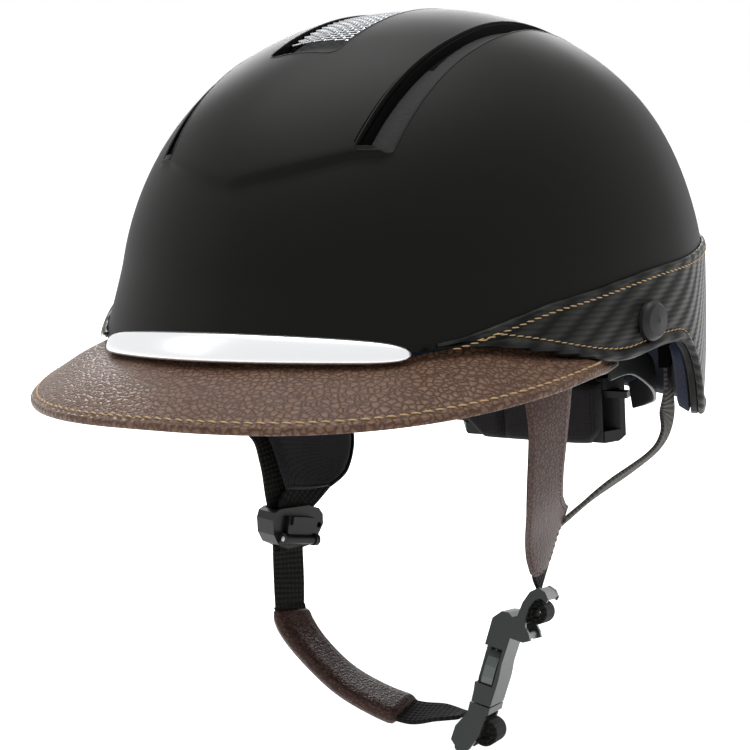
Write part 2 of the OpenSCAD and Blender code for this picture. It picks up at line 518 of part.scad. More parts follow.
module cradle_pad() color([0.17, 0.15, 0.16]) translate([0, 97.1, -62]) rotate([90, 0, 0]) linear_extrude(6)
  polygon([[-35, 11], [-30.5, 15.5], [30.5, 15.5], [35, 11], [35, -10], [29.5, -15.5], [-23, -15.5], [-35, -4.5]]);
module dial_knob() color([0.16, 0.17, 0.17]) translate([0, 0, dial_z]) rotate([-90, 0, 0]) {
  translate([0, 0, 100.4]) cylinder(r = shaft_r, h = 14, $fn = 48);
  difference() {
    translate([0, 0, 113.4]) cylinder(r = knob_r, h = 7, $fn = 64);
    for (i = [0 : 17]) rotate([0, 0, i * 20]) translate([knob_r + 0.6, 0, 100]) cylinder(r = 1.4, h = 30, $fn = 24);
  }
}
module dial_pinion() color([0.7, 0.7, 0.68]) translate([0, 105.1, dial_z]) rotate([90, 0, 0]) linear_extrude(4.6) difference() {
  pinion_outline();
  circle(r = shaft_r + 0.02, $fn = 48);
}
module rack(side) color([0.2, 0.2, 0.2]) translate([0, 104.9, dial_z]) rotate([90, 0, 0]) linear_extrude(4.4)
  rotate(side > 0 ? 0 : 180) translate([0, pitch_r]) rack_outline(-22, 45.6, 6);
module left_rack() rack(1);
module right_rack() rack(-1);

outer_shell();
foam_liner();
front_trim();
side_band();
vent_grille();
vent_intake();
left_vent_channel();
right_vent_channel();
peak_core();
peak_leather();
peak_lining();
left_rivet();
right_rivet();
left_rivet_washer();
right_rivet_washer();
brow_pad();
left_side_pad();
right_side_pad();
crown_pad();
nape_lining();
left_front_anchor();
right_front_anchor();
left_rear_anchor();
right_rear_anchor();
left_front_webbing();
left_rear_webbing();
left_strap_cover();
right_front_webbing();
right_rear_webbing();
right_strap_pad();
strap_divider();
divider_pin();
divider_lock();
buckle_socket();
upper_roll();
buckle_plug();
lower_roll();
front_prong();
rear_prong();
chin_webbing();
chin_pad();
left_side_strap();
right_side_strap();
cradle_housing();
cradle_cover();
cradle_pad();
dial_knob();
dial_pinion();
left_rack();
right_rack();
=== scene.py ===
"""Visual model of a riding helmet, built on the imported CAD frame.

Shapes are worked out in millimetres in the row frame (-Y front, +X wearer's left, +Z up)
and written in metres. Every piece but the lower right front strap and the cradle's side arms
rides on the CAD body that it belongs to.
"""
import math

import bmesh
import bpy
import numpy as np
from mathutils import Matrix, Vector
from mathutils.bvhtree import BVHTree


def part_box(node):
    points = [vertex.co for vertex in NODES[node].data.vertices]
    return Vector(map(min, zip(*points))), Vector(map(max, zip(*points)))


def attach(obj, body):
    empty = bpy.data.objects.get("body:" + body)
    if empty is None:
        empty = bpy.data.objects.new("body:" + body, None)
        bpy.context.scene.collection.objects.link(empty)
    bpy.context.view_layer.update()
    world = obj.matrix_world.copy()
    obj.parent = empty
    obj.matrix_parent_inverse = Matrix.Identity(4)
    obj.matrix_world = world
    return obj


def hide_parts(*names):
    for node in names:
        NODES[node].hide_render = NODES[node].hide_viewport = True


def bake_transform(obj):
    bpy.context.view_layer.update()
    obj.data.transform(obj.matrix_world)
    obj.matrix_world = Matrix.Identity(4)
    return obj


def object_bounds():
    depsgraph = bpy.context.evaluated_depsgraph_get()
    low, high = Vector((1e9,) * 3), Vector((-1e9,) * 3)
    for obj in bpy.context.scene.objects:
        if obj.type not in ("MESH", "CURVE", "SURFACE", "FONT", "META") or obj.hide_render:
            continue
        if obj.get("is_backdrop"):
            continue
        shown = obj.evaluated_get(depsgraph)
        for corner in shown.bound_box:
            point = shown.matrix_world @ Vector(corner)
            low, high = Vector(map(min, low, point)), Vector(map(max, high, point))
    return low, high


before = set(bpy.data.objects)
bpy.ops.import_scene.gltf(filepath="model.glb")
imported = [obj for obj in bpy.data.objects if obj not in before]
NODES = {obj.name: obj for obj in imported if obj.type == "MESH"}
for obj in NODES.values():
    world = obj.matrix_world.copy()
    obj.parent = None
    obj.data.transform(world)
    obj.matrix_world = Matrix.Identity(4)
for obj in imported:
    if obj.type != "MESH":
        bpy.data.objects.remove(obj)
cad_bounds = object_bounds()
MM = 0.001

# The dome is a superellipse in plan and in profile; sizes here and below are in millimetres
HALF_WIDTH = 108.0
FRONT_LENGTH = 135.5
REAR_LENGTH = 143.0
CROWN = 115.0
PLAN_POWER = 1.84
PROFILE_POWER = 2.15
SHELL_WALL = 2.4
SIDES = ((1, "left"), (-1, "right"))
UV_MIDDLE = 50.0
FLAT_STEPS = 7
CORD_SIDES = 8


# ---- arithmetic ----
def smooth(t):
    t = np.clip(t, 0.0, 1.0)
    return t * t * (3 - 2 * t)


def lerp(a, b, t):
    return a + (b - a) * t


def unit(v):
    v = np.asarray(v, float)
    return v / np.maximum(np.linalg.norm(v, axis=-1, keepdims=True), 1e-12)


def spline(points, steps):
    """Catmull-Rom curve through a few points."""
    p = np.asarray(points, float)
    n = len(p) - 1
    out = []
    for i in range(n):
        a, b, c, d = p[max(i - 1, 0)], p[i], p[i + 1], p[min(i + 2, n)]
        for k in range(steps):
            t = k / steps
            out.append(0.5 * (2 * b + (c - a) * t + (2 * a - 5 * b + 4 * c - d) * t * t
                              + (3 * b - a - 3 * c + d) * t ** 3))
    out.append(p[n])
    return np.array(out)


def arc_length(path):
    return np.concatenate([[0], np.cumsum(np.linalg.norm(np.diff(path, axis=0), axis=1))])


def rounded(distance, radius):
    """Height of a rounded edge: 0 at the rim and 1 from radius inwards."""
    return math.sqrt(max(0.0, 1 - max(0.0, 1 - distance / radius) ** 2))


def bell(x, centre, width):
    return math.exp(-((x - centre) / width) ** 2)


# ---- the dome; phi is in degrees from the front towards the wearer's left ----
def fold(phi):
    a = np.mod(phi, 360.0)
    return np.where(a > 180, 360 - a, a)


def edge_z(phi):
    """Height of the shell's lower edge: up over the ears, down round the nape."""
    a = fold(phi)
    return (lerp(9.0, -6.0, smooth((a - 32) / 36)) + 1.6 * np.exp(-((a - 76) / 8) ** 2)
            - 36 * smooth((a - 82) / 24) - 13 * smooth((a - 104) / 60))


def band_top(phi):
    a = fold(phi)
    return 10.6 + 7 * smooth((a - 28) / 24) + 4.2 * smooth((a - 44) / 36)


def plan(phi, off):
    """Radius of the dome's widest level, moved out by off."""
    s, c = np.sin(np.radians(phi)), np.cos(np.radians(phi))
    long = np.where(c > 0, FRONT_LENGTH, REAR_LENGTH) + off
    return ((np.abs(s) / (HALF_WIDTH + off)) ** PLAN_POWER
            + (np.abs(c) / long) ** PLAN_POWER) ** (-1 / PLAN_POWER)


def level(z, off):
    """Share of the plan's radius at a height."""
    up = np.clip(1 - np.clip(z / (CROWN + off), 0, 1) ** PROFILE_POWER, 0, 1) ** (1 / PROFILE_POWER)
    return np.where(z <= 0, 1 - 0.1 * (z / 100) ** 2, up)


def swell(phi, z):
    """Flare of the lower front, and the slight tuck round the back of the head."""
    a = fold(phi)
    flare = 8.6 * np.clip(1 - np.maximum(z, 4) / 33, 0, 1) ** 1.5 * smooth((72 - a) / 40)
    return flare - smooth((a - 84) / 26) * (1.2 * smooth((80 - z) / 45) + 1.4 * smooth((24 - z) / 20))


def dome(phi, z, off=0.0):
    phi, z = np.broadcast_arrays(np.asarray(phi, float), np.asarray(z, float))
    r = plan(phi, off) * level(z, off) + swell(phi, z)
    return np.stack([r * np.sin(np.radians(phi)), -r * np.cos(np.radians(phi)), z], -1)


def outward(phi, z):
    phi, z = np.asarray(phi, float), np.asarray(z, float)
    around = dome(phi + 0.5, z) - dome(phi - 0.5, z)
    return unit(np.cross(around, dome(phi, z + 0.5) - dome(phi, z - 0.5)))


def dome_top(x, y, off=0.0):
    """Point of the dome above a place in plan."""
    x, y = np.broadcast_arrays(np.asarray(x, float), np.asarray(y, float))
    long = np.where(y < 0, FRONT_LENGTH, REAR_LENGTH) + off
    r = ((np.abs(x) / (HALF_WIDTH + off)) ** PLAN_POWER
         + (np.abs(y) / long) ** PLAN_POWER) ** (1 / PLAN_POWER)
    z = (CROWN + off) * np.clip(1 - np.clip(r, 0, 1) ** PROFILE_POWER, 0, 1) ** (1 / PROFILE_POWER)
    return np.stack([x, y, z], -1)


# ---- meshes ----
def add(name, data):
    obj = bpy.data.objects.new(name, data)
    bpy.context.scene.collection.objects.link(obj)
    return obj


def make(name, verts, faces, material, body, replaces=(), uvs=None, smooth_angle=40.0, slot=None):
    """A mesh piece from points in millimetres. It rides on body and may replace CAD nodes."""
    mesh = bpy.data.meshes.new(name)
    points = [tuple(float(c) * MM for c in v) for v in verts]
    mesh.from_pydata(points, [], [list(map(int, f)) for f in faces])
    mesh.validate()
    if uvs is not None:
        layer = mesh.uv_layers.new(name="UVMap")
        for loop in mesh.loops:
            layer.data[loop.index].uv = uvs[loop.vertex_index]
    obj = add(name, mesh)
    mesh.materials.append(material)
    bm = bmesh.new()
    bm.from_mesh(mesh)
    bmesh.ops.recalc_face_normals(bm, faces=bm.faces)
    bm.to_mesh(mesh)
    bm.free()
    shade(obj, smooth_angle)
    if replaces:
        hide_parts(*replaces)
    if body:
        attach(obj, body)
    return obj


def shade(obj, angle):
    mesh = obj.data
    for polygon in mesh.polygons:
        polygon.use_smooth = True
    if angle < 180:
        mesh.set_sharp_from_angle(angle=math.radians(angle))


def ring_faces(rings, k, closed_ends=True, closed_rings=False):
    """Faces over a stack of closed rings of k points, with or without flat ends."""
    faces = []
    count = rings if closed_rings else rings - 1
    for j in range(count):
        a, b = j * k, ((j + 1) % rings) * k
        for i in range(k):
            n = (i + 1) % k
            faces.append((a + i, b + i, b + n, a + n))
    if closed_ends and not closed_rings:
        faces.append(tuple(range(k)))
        faces.append(tuple((rings - 1) * k + i for i in reversed(range(k))))
    return faces


def double_wall_faces(k, rows):
    """Faces of a two-walled dome: rows of k points outside, as many inside, then the two top points."""
    m = k * rows
    faces = []
    for j in range(rows - 1):
        for i in range(k):
            a, b = j * k, (i + 1) % k
            faces.append((a + i, a + b, a + k + b, a + k + i))
            faces.append((m + a + b, m + a + i, m + a + k + i, m + a + k + b))
    for i in range(k):
        b = (i + 1) % k
        faces += [(b, i, m + i, m + b), (m - k + i, m - k + b, 2 * m),
                  (2 * m - k + b, 2 * m - k + i, 2 * m + 1)]
    return faces


def loft(name, rings, material, body, ends=True, loop=False, uv=None, **rest):
    """A skin over a stack of closed rings of points."""
    rings = np.asarray(rings, float)
    n, k, _ = rings.shape
    uvs = None
    if uv is not None:
        uvs = [tuple(p) for p in np.asarray(uv, float).reshape(-1, 2)]
    return make(name, rings.reshape(-1, 3), ring_faces(n, k, ends, loop), material, body, uvs=uvs, **rest)


def frames(path, across):
    """Run, width and up directions along a path."""
    run = unit(np.gradient(path, axis=0))
    w = np.asarray(across, float)
    w = unit(w - run * np.sum(w * run, axis=1, keepdims=True))
    return run, w, np.cross(run, w)


def strap_section(half, thick):
    """Cross-section of a flat strap with rounded edges: (across, up) points."""
    r = thick / 2
    flat = half - r
    turns = [math.radians(a) for a in (-60, -30, 0, 30, 60)]
    edge = [(flat + r * math.cos(a), r * math.sin(a)) for a in turns]
    face = [(flat - 2 * flat * i / FLAT_STEPS, r) for i in range(FLAT_STEPS + 1)]
    return np.array(edge + face + [(-x, -z) for x, z in edge + face])


def strap_uv(across, run):
    """Texture coordinates of one ring of a strap, in metres."""
    return [((x + UV_MIDDLE) * MM, run * MM) for x in across]


def sweep(name, path, across, sections, material, body, **rest):
    """A strap along a path, its width turned towards across, with a section for every point."""
    _, w, up = frames(path, across)
    rings, uv = [], []
    for p, wide, high, section, run in zip(path, w, up, sections, arc_length(path)):
        rings.append(p + wide * section[:, :1] + high * section[:, 1:])
        uv.append(strap_uv(section[:, 0], run))
    return loft(name, rings, material, body, uv=uv, **rest)


def tube(name, path, radius, material, body, loop=False):
    """A round cord along a path, closed on itself where loop is set."""
    path = np.asarray(path, float)
    run = unit(np.roll(path, -1, 0) - np.roll(path, 1, 0) if loop else np.gradient(path, axis=0))
    normal = np.cross(run[0], [0.3, 0.2, 0.93])
    a = np.linspace(0, 2 * math.pi, CORD_SIDES, endpoint=False)[:, None]
    rings = []
    for p, r in zip(path, run):
        normal = unit(normal - r * np.dot(normal, r))
        rings.append(p + radius * (np.cos(a) * normal + np.sin(a) * np.cross(r, normal)))
    return loft(name, rings, material, body, ends=not loop, loop=loop, smooth_angle=180)


def resample(path, pitch):
    """Evenly spaced points along a path, half a pitch in from its ends."""
    path = np.asarray(path, float)
    s = arc_length(path)
    count = max(2, int(round(s[-1] / pitch)))
    t = (np.arange(count) + 0.5) * s[-1] / count
    return np.stack([np.interp(t, s, path[:, i]) for i in range(path.shape[1])], -1)


def stitches(name, path, normals, material, body, pitch, length, radius, turn, lift=0.1):
    """A row of sewn stitches: one bowed capsule per stitch, each turned a little from the line."""
    both = resample(np.hstack([path, normals]), pitch)
    pos, stitch_normals = both[:, :3], unit(both[:, 3:])
    verts, faces = [], []
    stations, sides = 7, 6
    turn = math.radians(turn)
    for p, n, run in zip(pos, stitch_normals, unit(np.gradient(pos, axis=0))):
        along = run * math.cos(turn) + unit(np.cross(n, run)) * math.sin(turn)
        side = unit(np.cross(n, along))
        base = len(verts)
        for j in range(stations):
            t = -1 + 2 * j / (stations - 1)
            fat = radius * math.sqrt(max(0.04, 1 - abs(t) ** 3))
            centre = p + along * (t * length / 2) + n * (lift + radius * 0.7 * (1 - t * t) - radius * 0.35)
            for i in range(sides):
                a = 2 * math.pi * i / sides
                verts.append(centre + fat * (math.cos(a) * n + math.sin(a) * side))
        for j in range(stations - 1):
            for i in range(sides):
                m = (i + 1) % sides
                a, b = base + j * sides, base + (j + 1) * sides
                faces.append((a + i, a + m, b + m, b + i))
        faces.append(tuple(base + i for i in reversed(range(sides))))
        faces.append(tuple(base + (stations - 1) * sides + i for i in range(sides)))
    return make(name, verts, faces, material, body, smooth_angle=180)


# ---- materials ----
def material(name, color, roughness=0.5, metallic=0.0, specular=0.5, sheen=0.0):
    m = bpy.data.materials.new(name)
    m.use_nodes = True
    b = m.node_tree.nodes["Principled BSDF"]
    b.inputs["Base Color"].default_value = (*color, 1)
    b.inputs["Roughness"].default_value = roughness
    b.inputs["Metallic"].default_value = metallic
    b.inputs["Specular IOR Level"].default_value = specular
    b.inputs["Sheen Weight"].default_value = sheen
    return m


# A wave texture of scale 1 has a period of 314 mm
WAVE_UNIT = 314.0
RIB_PERIOD = WAVE_UNIT / 46.0
THREAD_PERIOD = WAVE_UNIT / 190.0
WEAVE_PERIOD = 2.0


class Graph:
    """Short names for building a material's node tree."""

    def __init__(self, m):
        self.tree = m.node_tree
        self.bsdf = self.tree.nodes["Principled BSDF"]

    def node(self, kind, **values):
        n = self.tree.nodes.new(kind)
        for key, value in values.items():
            if hasattr(n, key):
                setattr(n, key, value)
            else:
                n.inputs[key].default_value = value
        return n

    def link(self, a, b):
        self.tree.links.new(a, b)

    def coords(self, kind="Object", degrees=0.0):
        c = self.node("ShaderNodeTexCoord")
        mp = self.node("ShaderNodeMapping")
        mp.inputs["Rotation"].default_value = (0, 0, math.radians(degrees))
        self.link(c.outputs[kind], mp.inputs["Vector"])
        return mp.outputs["Vector"]

    def math(self, operation, a, b=0.5):
        n = self.node("ShaderNodeMath", operation=operation)
        for socket, value in zip(n.inputs, (a, b)):
            if hasattr(value, "is_output"):
                self.link(value, socket)
            else:
                socket.default_value = value
        return n.outputs[0]

    def noise(self, vector, scale, detail=3.0, rough=0.55):
        n = self.node("ShaderNodeTexNoise", Scale=scale, Detail=detail, Roughness=rough)
        self.link(vector, n.inputs["Vector"])
        return n.outputs["Fac"]

    def cells(self, vector, feature, scale, randomness=1.0):
        n = self.node("ShaderNodeTexVoronoi", feature=feature, Scale=scale, Randomness=randomness)
        self.link(vector, n.inputs["Vector"])
        return n.outputs["Distance"]

    def wave(self, vector, direction, period):
        """Parallel ribs, period millimetres apart in UV space."""
        n = self.node("ShaderNodeTexWave", wave_type="BANDS", bands_direction=direction,
                      Scale=WAVE_UNIT / period, Distortion=0.0)
        self.link(vector, n.inputs["Vector"])
        return n.outputs["Fac"]

    def ramp(self, value, *stops):
        n = self.node("ShaderNodeValToRGB")
        elements = n.color_ramp.elements
        while len(elements) < len(stops):
            elements.new(0.5)
        for e, (at, color) in zip(elements, stops):
            e.position = at
            e.color = (*color, 1)
        self.link(value, n.inputs["Fac"])
        return n.outputs["Color"]

    def bump(self, height, distance, strength=1.0):
        n = self.node("ShaderNodeBump", Strength=strength, Distance=distance)
        self.link(height, n.inputs["Height"])
        self.link(n.outputs["Normal"], self.bsdf.inputs["Normal"])

    def color(self, socket):
        self.link(socket, self.bsdf.inputs["Base Color"])


def leather_material(name, painted_shade, light, cell, depth, gloss):
    """Pebbled leather: cells of the given size in millimetres, with painted shade darkening the creases
    between them.
    """
    m = material(name, light, roughness=gloss, specular=0.13)
    g = Graph(m)
    v = g.coords()
    wobble = g.node("ShaderNodeTexNoise", Scale=420.0, Detail=2.0)
    g.link(v, wobble.inputs["Vector"])
    shift = g.node("ShaderNodeVectorMath", operation="MULTIPLY_ADD")
    g.link(wobble.outputs["Color"], shift.inputs[0])
    shift.inputs[1].default_value = (0.0012, 0.0012, 0.0012)
    g.link(v, shift.inputs[2])
    creases = g.cells(shift.outputs[0], "DISTANCE_TO_EDGE", 1000.0 / cell, 0.95)
    pebble = g.math("SMOOTH_MIN", creases, 0.22)
    fine = g.noise(v, 1900.0)
    g.bump(g.math("ADD", g.math("MULTIPLY", pebble, 3.4), g.math("MULTIPLY", fine, 0.22)), depth)
    tone = g.math("ADD", g.noise(v, 42.0, 4.0), 0.35)
    # Painted shade: the creases take the darker colour, scaled by a random tone
    shade_and_tone_mix = g.node("ShaderNodeMix", data_type="RGBA")
    g.link(g.math("MULTIPLY", g.math("MULTIPLY", pebble, 7.5), tone), shade_and_tone_mix.inputs["Factor"])
    shade_and_tone_mix.inputs["A"].default_value = (*painted_shade, 1)
    shade_and_tone_mix.inputs["B"].default_value = (*light, 1)
    g.color(shade_and_tone_mix.outputs["Result"])
    return m


def shell_material():
    """Black paint with a fine soft-touch grain."""
    m = material("soft_touch_black", (0.0034, 0.0036, 0.0029), roughness=0.5, specular=0.085)
    g = Graph(m)
    g.bump(g.noise(g.coords(), 2600.0, 2.0), 0.00003, 0.6)
    return m


def twill_material():
    """Coarse diagonal ribs broken into threads, like embossed carbon cloth, with painted shade in the
    grooves.
    """
    m = material("carbon_twill", (0.01, 0.0105, 0.01), roughness=0.42, specular=0.12)
    g = Graph(m)
    ribs = g.wave(g.coords("UV", 62), "X", RIB_PERIOD)
    threads = g.wave(g.coords("UV", 4), "Y", THREAD_PERIOD)
    g.bump(g.math("ADD", ribs, g.math("MULTIPLY", threads, 0.22)), 0.0004)
    # Painted shade and highlight: the colour follows the ribs, darker in the grooves and lighter on the
    # crests
    g.color(g.ramp(g.math("MULTIPLY", ribs, g.math("ADD", threads, 0.6)),
                   (0.1, (0.0015, 0.0015, 0.0015)), (0.95, (0.014, 0.015, 0.0125))))
    return m


def webbing_material(name, painted_shade, light):
    """Woven strap: ribs across the strap and a hint of warp along it, with painted shade in the dips of the
    weave.
    """
    m = material(name, light, roughness=0.75, specular=0.1)
    g = Graph(m)
    v = g.coords("UV")
    rows, warp = g.wave(v, "Y", WEAVE_PERIOD), g.wave(v, "X", WEAVE_PERIOD)
    both = g.math("MULTIPLY", g.math("ADD", rows, 0.3), g.math("ADD", warp, 0.6))
    g.bump(both, 0.00025)
    # Painted shade: the colour follows the weave's height, darker in its dips
    g.color(g.ramp(both, (0.1, painted_shade), (0.9, light)))
    return m


def buckle_material():
    """Moulded plastic with a fine spark-eroded texture."""
    m = material("buckle_plastic", (0.016, 0.02, 0.0185), roughness=0.4, specular=0.4)
    g = Graph(m)
    g.bump(g.noise(g.coords(), 1400.0, 3.0), 0.00004, 0.8)
    return m


def cloth_material(name, painted_shade, light):
    """Knitted cloth: close dots, with painted highlight at their tops and painted shade between them."""
    m = material(name, light, roughness=0.85, specular=0.1, sheen=0.05)
    g = Graph(m)
    dots = g.cells(g.coords(), "F1", 1500.0, 0.35)
    g.bump(dots, 0.0002)
    # Painted light: lighter at the dots' tops, painted shade in the gaps between them
    g.color(g.ramp(dots, (0.1, light), (0.7, painted_shade)))
    return m


def foam_material():
    """Moulded polystyrene: beads pressed together."""
    m = material("foam", (0.02, 0.02, 0.021), roughness=0.8, specular=0.25)
    g = Graph(m)
    g.bump(g.math("SMOOTH_MIN", g.cells(g.coords(), "DISTANCE_TO_EDGE", 380.0), 0.12), 0.0006)
    return m


BLACK = shell_material()
TWILL = twill_material()
# The first colour of each leather is the painted shade in its creases
LEATHER = leather_material("brown_leather", (0.05, 0.024, 0.015), (0.118, 0.068, 0.044),
                           cell=2.2, depth=0.00032, gloss=0.34)
STRAP_LEATHER = leather_material("strap_leather", (0.026, 0.012, 0.009), (0.058, 0.033, 0.027),
                                 cell=1.6, depth=0.00018, gloss=0.38)
THREAD = material("tan_thread", (0.33, 0.22, 0.1), roughness=0.6)
DARK_THREAD = material("brown_thread", (0.06, 0.026, 0.017), roughness=0.6)
SILVER = material("satin_silver", (0.82, 0.83, 0.84), roughness=0.27, metallic=1.0)
CHROME = material("bright_mesh", (0.62, 0.63, 0.65), roughness=0.2, metallic=1.0)
VENT_BLACK = material("vent_black", (0.002, 0.002, 0.002), roughness=0.6, specular=0.1)
INSERT = material("insert_black", (0.002, 0.002, 0.002), roughness=0.6, specular=0.03)
# The first colour of each webbing is the painted shade in the dips of its weave
WEBBING = webbing_material("black_webbing", (0.003, 0.003, 0.0027), (0.011, 0.011, 0.01))
# Painted light: a lighter copy of the black webbing, standing in for the light on the left rear strap
LIT_WEBBING = webbing_material("lit_side_webbing", (0.025, 0.025, 0.023), (0.095, 0.09, 0.083))
BUCKLE = buckle_material()
RIVET = material("rivet_paint", (0.006, 0.0065, 0.006), roughness=0.38, specular=0.25)
PRONG = material("prong_plastic", (0.07, 0.085, 0.08), roughness=0.3, specular=0.6)
STEEL = material("steel", (0.55, 0.55, 0.57), roughness=0.3, metallic=1.0)
# For each cloth material the first colour is the painted shade between its dots
NAVY = cloth_material("navy_lining", (0.004, 0.006, 0.014), (0.016, 0.021, 0.04))
PEAK_CLOTH = cloth_material("peak_cloth", (0.02, 0.023, 0.02), (0.07, 0.078, 0.068))
CRADLE = material("cradle_plastic", (0.008, 0.009, 0.008), roughness=0.4, specular=0.2)
CRADLE_CLOTH = cloth_material("cradle_cloth", (0.006, 0.0055, 0.006), (0.022, 0.019, 0.021))
FOAM = foam_material()


# ---- shell ----
# Edges of the left slot, as (y, x) in plan
SLOT_INNER = np.array([[-100.2, 35.1], [-92, 36.2], [-75, 38], [-58, 39.6], [-40, 41.1],
                       [-15, 42.2], [6, 43.4], [20, 44.6], [36, 47]])
SLOT_OUTER = np.array([[-94.4, 45.7], [-87, 46.3], [-74, 47.3], [-58, 48.5], [-40, 49.8],
                       [-20, 50.8], [0, 51.3], [20, 51.8], [36, 52.2]])
# The front step: (degrees from the front, height) of its foot, and its rise
STEP_LOW = ([0, 11.2, 19.1, 26.1], [58.4, 62.5, 66.0, 65.6])
STEP_TALL = ([0, 10.8, 19.0, 26.0], [4.2, 4.0, 2.4, 1.6])
STEP_HEIGHT = 1.3
VENT_HALF = 13.5
VENT_FRONT = -73.0
VENT_REAR = 14.0
VENT_CORNER = 4.0
ROWS_LOW, ROWS_STEP, ROWS_TOP = 26, 5, 44
SAME_SURFACE = 0.8
CHANNEL_OFF, CHANNEL_GAP, CHANNEL_WALL = -0.9, 0.3, 1.0
CHANNEL_DEPTH, CHANNEL_OUTSIDE, BRIDGE_RISE = 9.5, 10.4, 6.3
TRAY_OFF, TRAY_DEPTH, TRAY_WALL = -2.6, 7.5, 1.2
GRILLE_HALF, GRILLE_FRONT, GRILLE_LENGTH = 13.0, -60.0, 75.0
GRILLE_ROWS, GRILLE_COLUMNS = 19, 6
STRAND_LEAN = np.array([0, -0.55, 1.0])


def slot_edges(y):
    """Inner and outer x of the left slot."""
    return np.interp(y, SLOT_INNER[:, 0], SLOT_INNER[:, 1]), np.interp(y, SLOT_OUTER[:, 0], SLOT_OUTER[:, 1])


def raised(x, y):
    """How far the panel between the slots stands out, away from its front step."""
    middle = sum(slot_edges(y)) / 2
    side = np.where(y < -97, smooth((48 - np.abs(x)) / 3), smooth((middle - np.abs(x)) / 1.6 + 0.5))
    return STEP_HEIGHT * side * (1 - smooth((y + 98) / 60))


def slot_outline():
    front = [(35.7, -101.2), (45.4, -95.2)]
    rear = [(51.6, 38.5), (49.8, 40), (48, 38.8)]
    return np.array(front + [(x, y) for y, x in SLOT_OUTER] + rear + [(x, y) for y, x in SLOT_INNER[::-1]])


def vent_outline():
    """Rounded rectangle of the centre vent."""
    r, n = VENT_CORNER, 6
    side, front, rear = VENT_HALF - r, VENT_FRONT + r, VENT_REAR - r
    corners = [(side, rear, 0), (-side, rear, 90), (-side, front, 180), (side, front, 270)]
    turns = [(cx, cy, math.radians(t0 + 90 * i / n)) for cx, cy, t0 in corners for i in range(n + 1)]
    return np.array([(cx + r * math.cos(t), cy + r * math.sin(t)) for cx, cy, t in turns])


def prism(name, outline, low, high):
    k = len(outline)
    verts = [(x, y, low) for x, y in outline] + [(x, y, high) for x, y in outline]
    faces = [(i, (i + 1) % k, k + (i + 1) % k, k + i) for i in range(k)]
    faces += [tuple(reversed(range(k))), tuple(range(k, 2 * k))]
    return make(name, verts, faces, BLACK, None)


def shell_rows(phi):
    """Heights of the rows up the shell, each with its share of the front step."""
    a = fold(phi)
    low, tall = np.interp(a, *STEP_LOW), np.interp(a, *STEP_TALL)
    foot, top = edge_z(phi), low + tall
    rows = [(foot + (low - foot) * j / ROWS_LOW, 0.0) for j in range(ROWS_LOW)]
    rows += [(low + tall * j / ROWS_STEP, smooth(j / ROWS_STEP)) for j in range(ROWS_STEP)]
    rows += [(top + (CROWN - top) * math.sin(math.pi / 2 * j / ROWS_TOP), 1.0) for j in range(ROWS_TOP)]
    return rows


def shell_skin():
    """The shell before its openings are cut, with finer columns at the front, where the step is."""
    phi = np.concatenate([np.arange(-30, 30, 1.25), np.arange(30, 330, 2.5)])
    foot = edge_z(phi)
    outer, inner = [], []
    for z, weight in shell_rows(phi):
        p = dome(phi, z)
        n = outward(phi, np.minimum(z, CROWN - 0.6))
        outer.append(p + n * (raised(p[:, 0], p[:, 1]) * weight)[:, None])
        share = (z - foot) / (CROWN - foot)
        inner.append(dome(phi, foot + (CROWN - SHELL_WALL - foot) * share, -SHELL_WALL))
    tops = [[0, 0, CROWN], [0, 0, CROWN - SHELL_WALL]]
    faces = double_wall_faces(len(phi), len(outer))
    return make("shell_skin", np.concatenate(outer + inner + [tops]), faces, BLACK, None, smooth_angle=180)


def cut_openings(shell):
    """Cuts the centre vent and both slots, and leaves the result as the shell's own mesh."""
    cutters = [prism("cut_vent", vent_outline(), 60, 150)]
    for side in (1, -1):
        cutters.append(prism("cut_slot_%d" % side, slot_outline() * [side, 1], 52, 150))
    for cutter in cutters:
        mod = shell.modifiers.new("cut", "BOOLEAN")
        mod.operation = "DIFFERENCE"
        mod.solver = "EXACT"
        mod.object = cutter
    graph = bpy.context.evaluated_depsgraph_get()
    result = bpy.data.meshes.new_from_object(shell.evaluated_get(graph))
    shell.modifiers.clear()
    shell.data = result
    for cutter in cutters:
        bpy.data.objects.remove(cutter)


def carry_normals(mesh, tree, skin):
    """Gives the cut mesh the uncut skin's normals wherever it still is that surface."""
    normals = []
    for polygon in mesh.polygons:
        polygon.use_smooth = True
        for loop_index in polygon.loop_indices:
            co = mesh.vertices[mesh.loops[loop_index].vertex_index].co
            _, normal, face, _ = tree.find_nearest(co)
            if normal is None or polygon.normal.dot(normal) < SAME_SURFACE:
                normals.append(polygon.normal.copy())
                continue
            total = Vector()
            for v in skin.polygons[face].vertices:
                total += skin.vertices[v].normal / (1e-6 + (skin.vertices[v].co - co).length)
            normals.append(total.normalized())
    mesh.normals_split_custom_set(normals)


def shell_piece():
    shell = shell_skin()
    skin = shell.data.copy()
    tree = BVHTree.FromObject(shell, bpy.context.evaluated_depsgraph_get())
    cut_openings(shell)
    carry_normals(shell.data, tree, skin)
    bpy.data.meshes.remove(skin)
    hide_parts("outer_shell")
    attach(shell, "shell")


def on_shell(x, y, lift):
    """Points on the shell's outer face, its front step included."""
    p = dome_top(x, y)
    e = 0.4
    n = unit(np.cross(dome_top(x + e, y) - dome_top(x - e, y), dome_top(x, y + e) - dome_top(x, y - e)))
    return p + n * (raised(x, y) + lift)[..., None]


def dense(outline):
    """A closed outline with a point every 1.5 mm."""
    closed = np.vstack([outline, outline[:1]])
    s = arc_length(closed)
    t = np.arange(0, s[-1], 1.5)
    return np.stack([np.interp(t, s, closed[:, 0]), np.interp(t, s, closed[:, 1])], -1)


def vent_lips():
    """A rounded edge round each opening in the shell."""
    left = slot_outline()
    for name, outline in (("vent", vent_outline()), ("left_slot", left), ("right_slot", left * [-1, 1])):
        pts = dense(outline)
        tube(name + "_lip", on_shell(pts[:, 0], pts[:, 1], -0.25), 0.42, BLACK, "shell", loop=True)


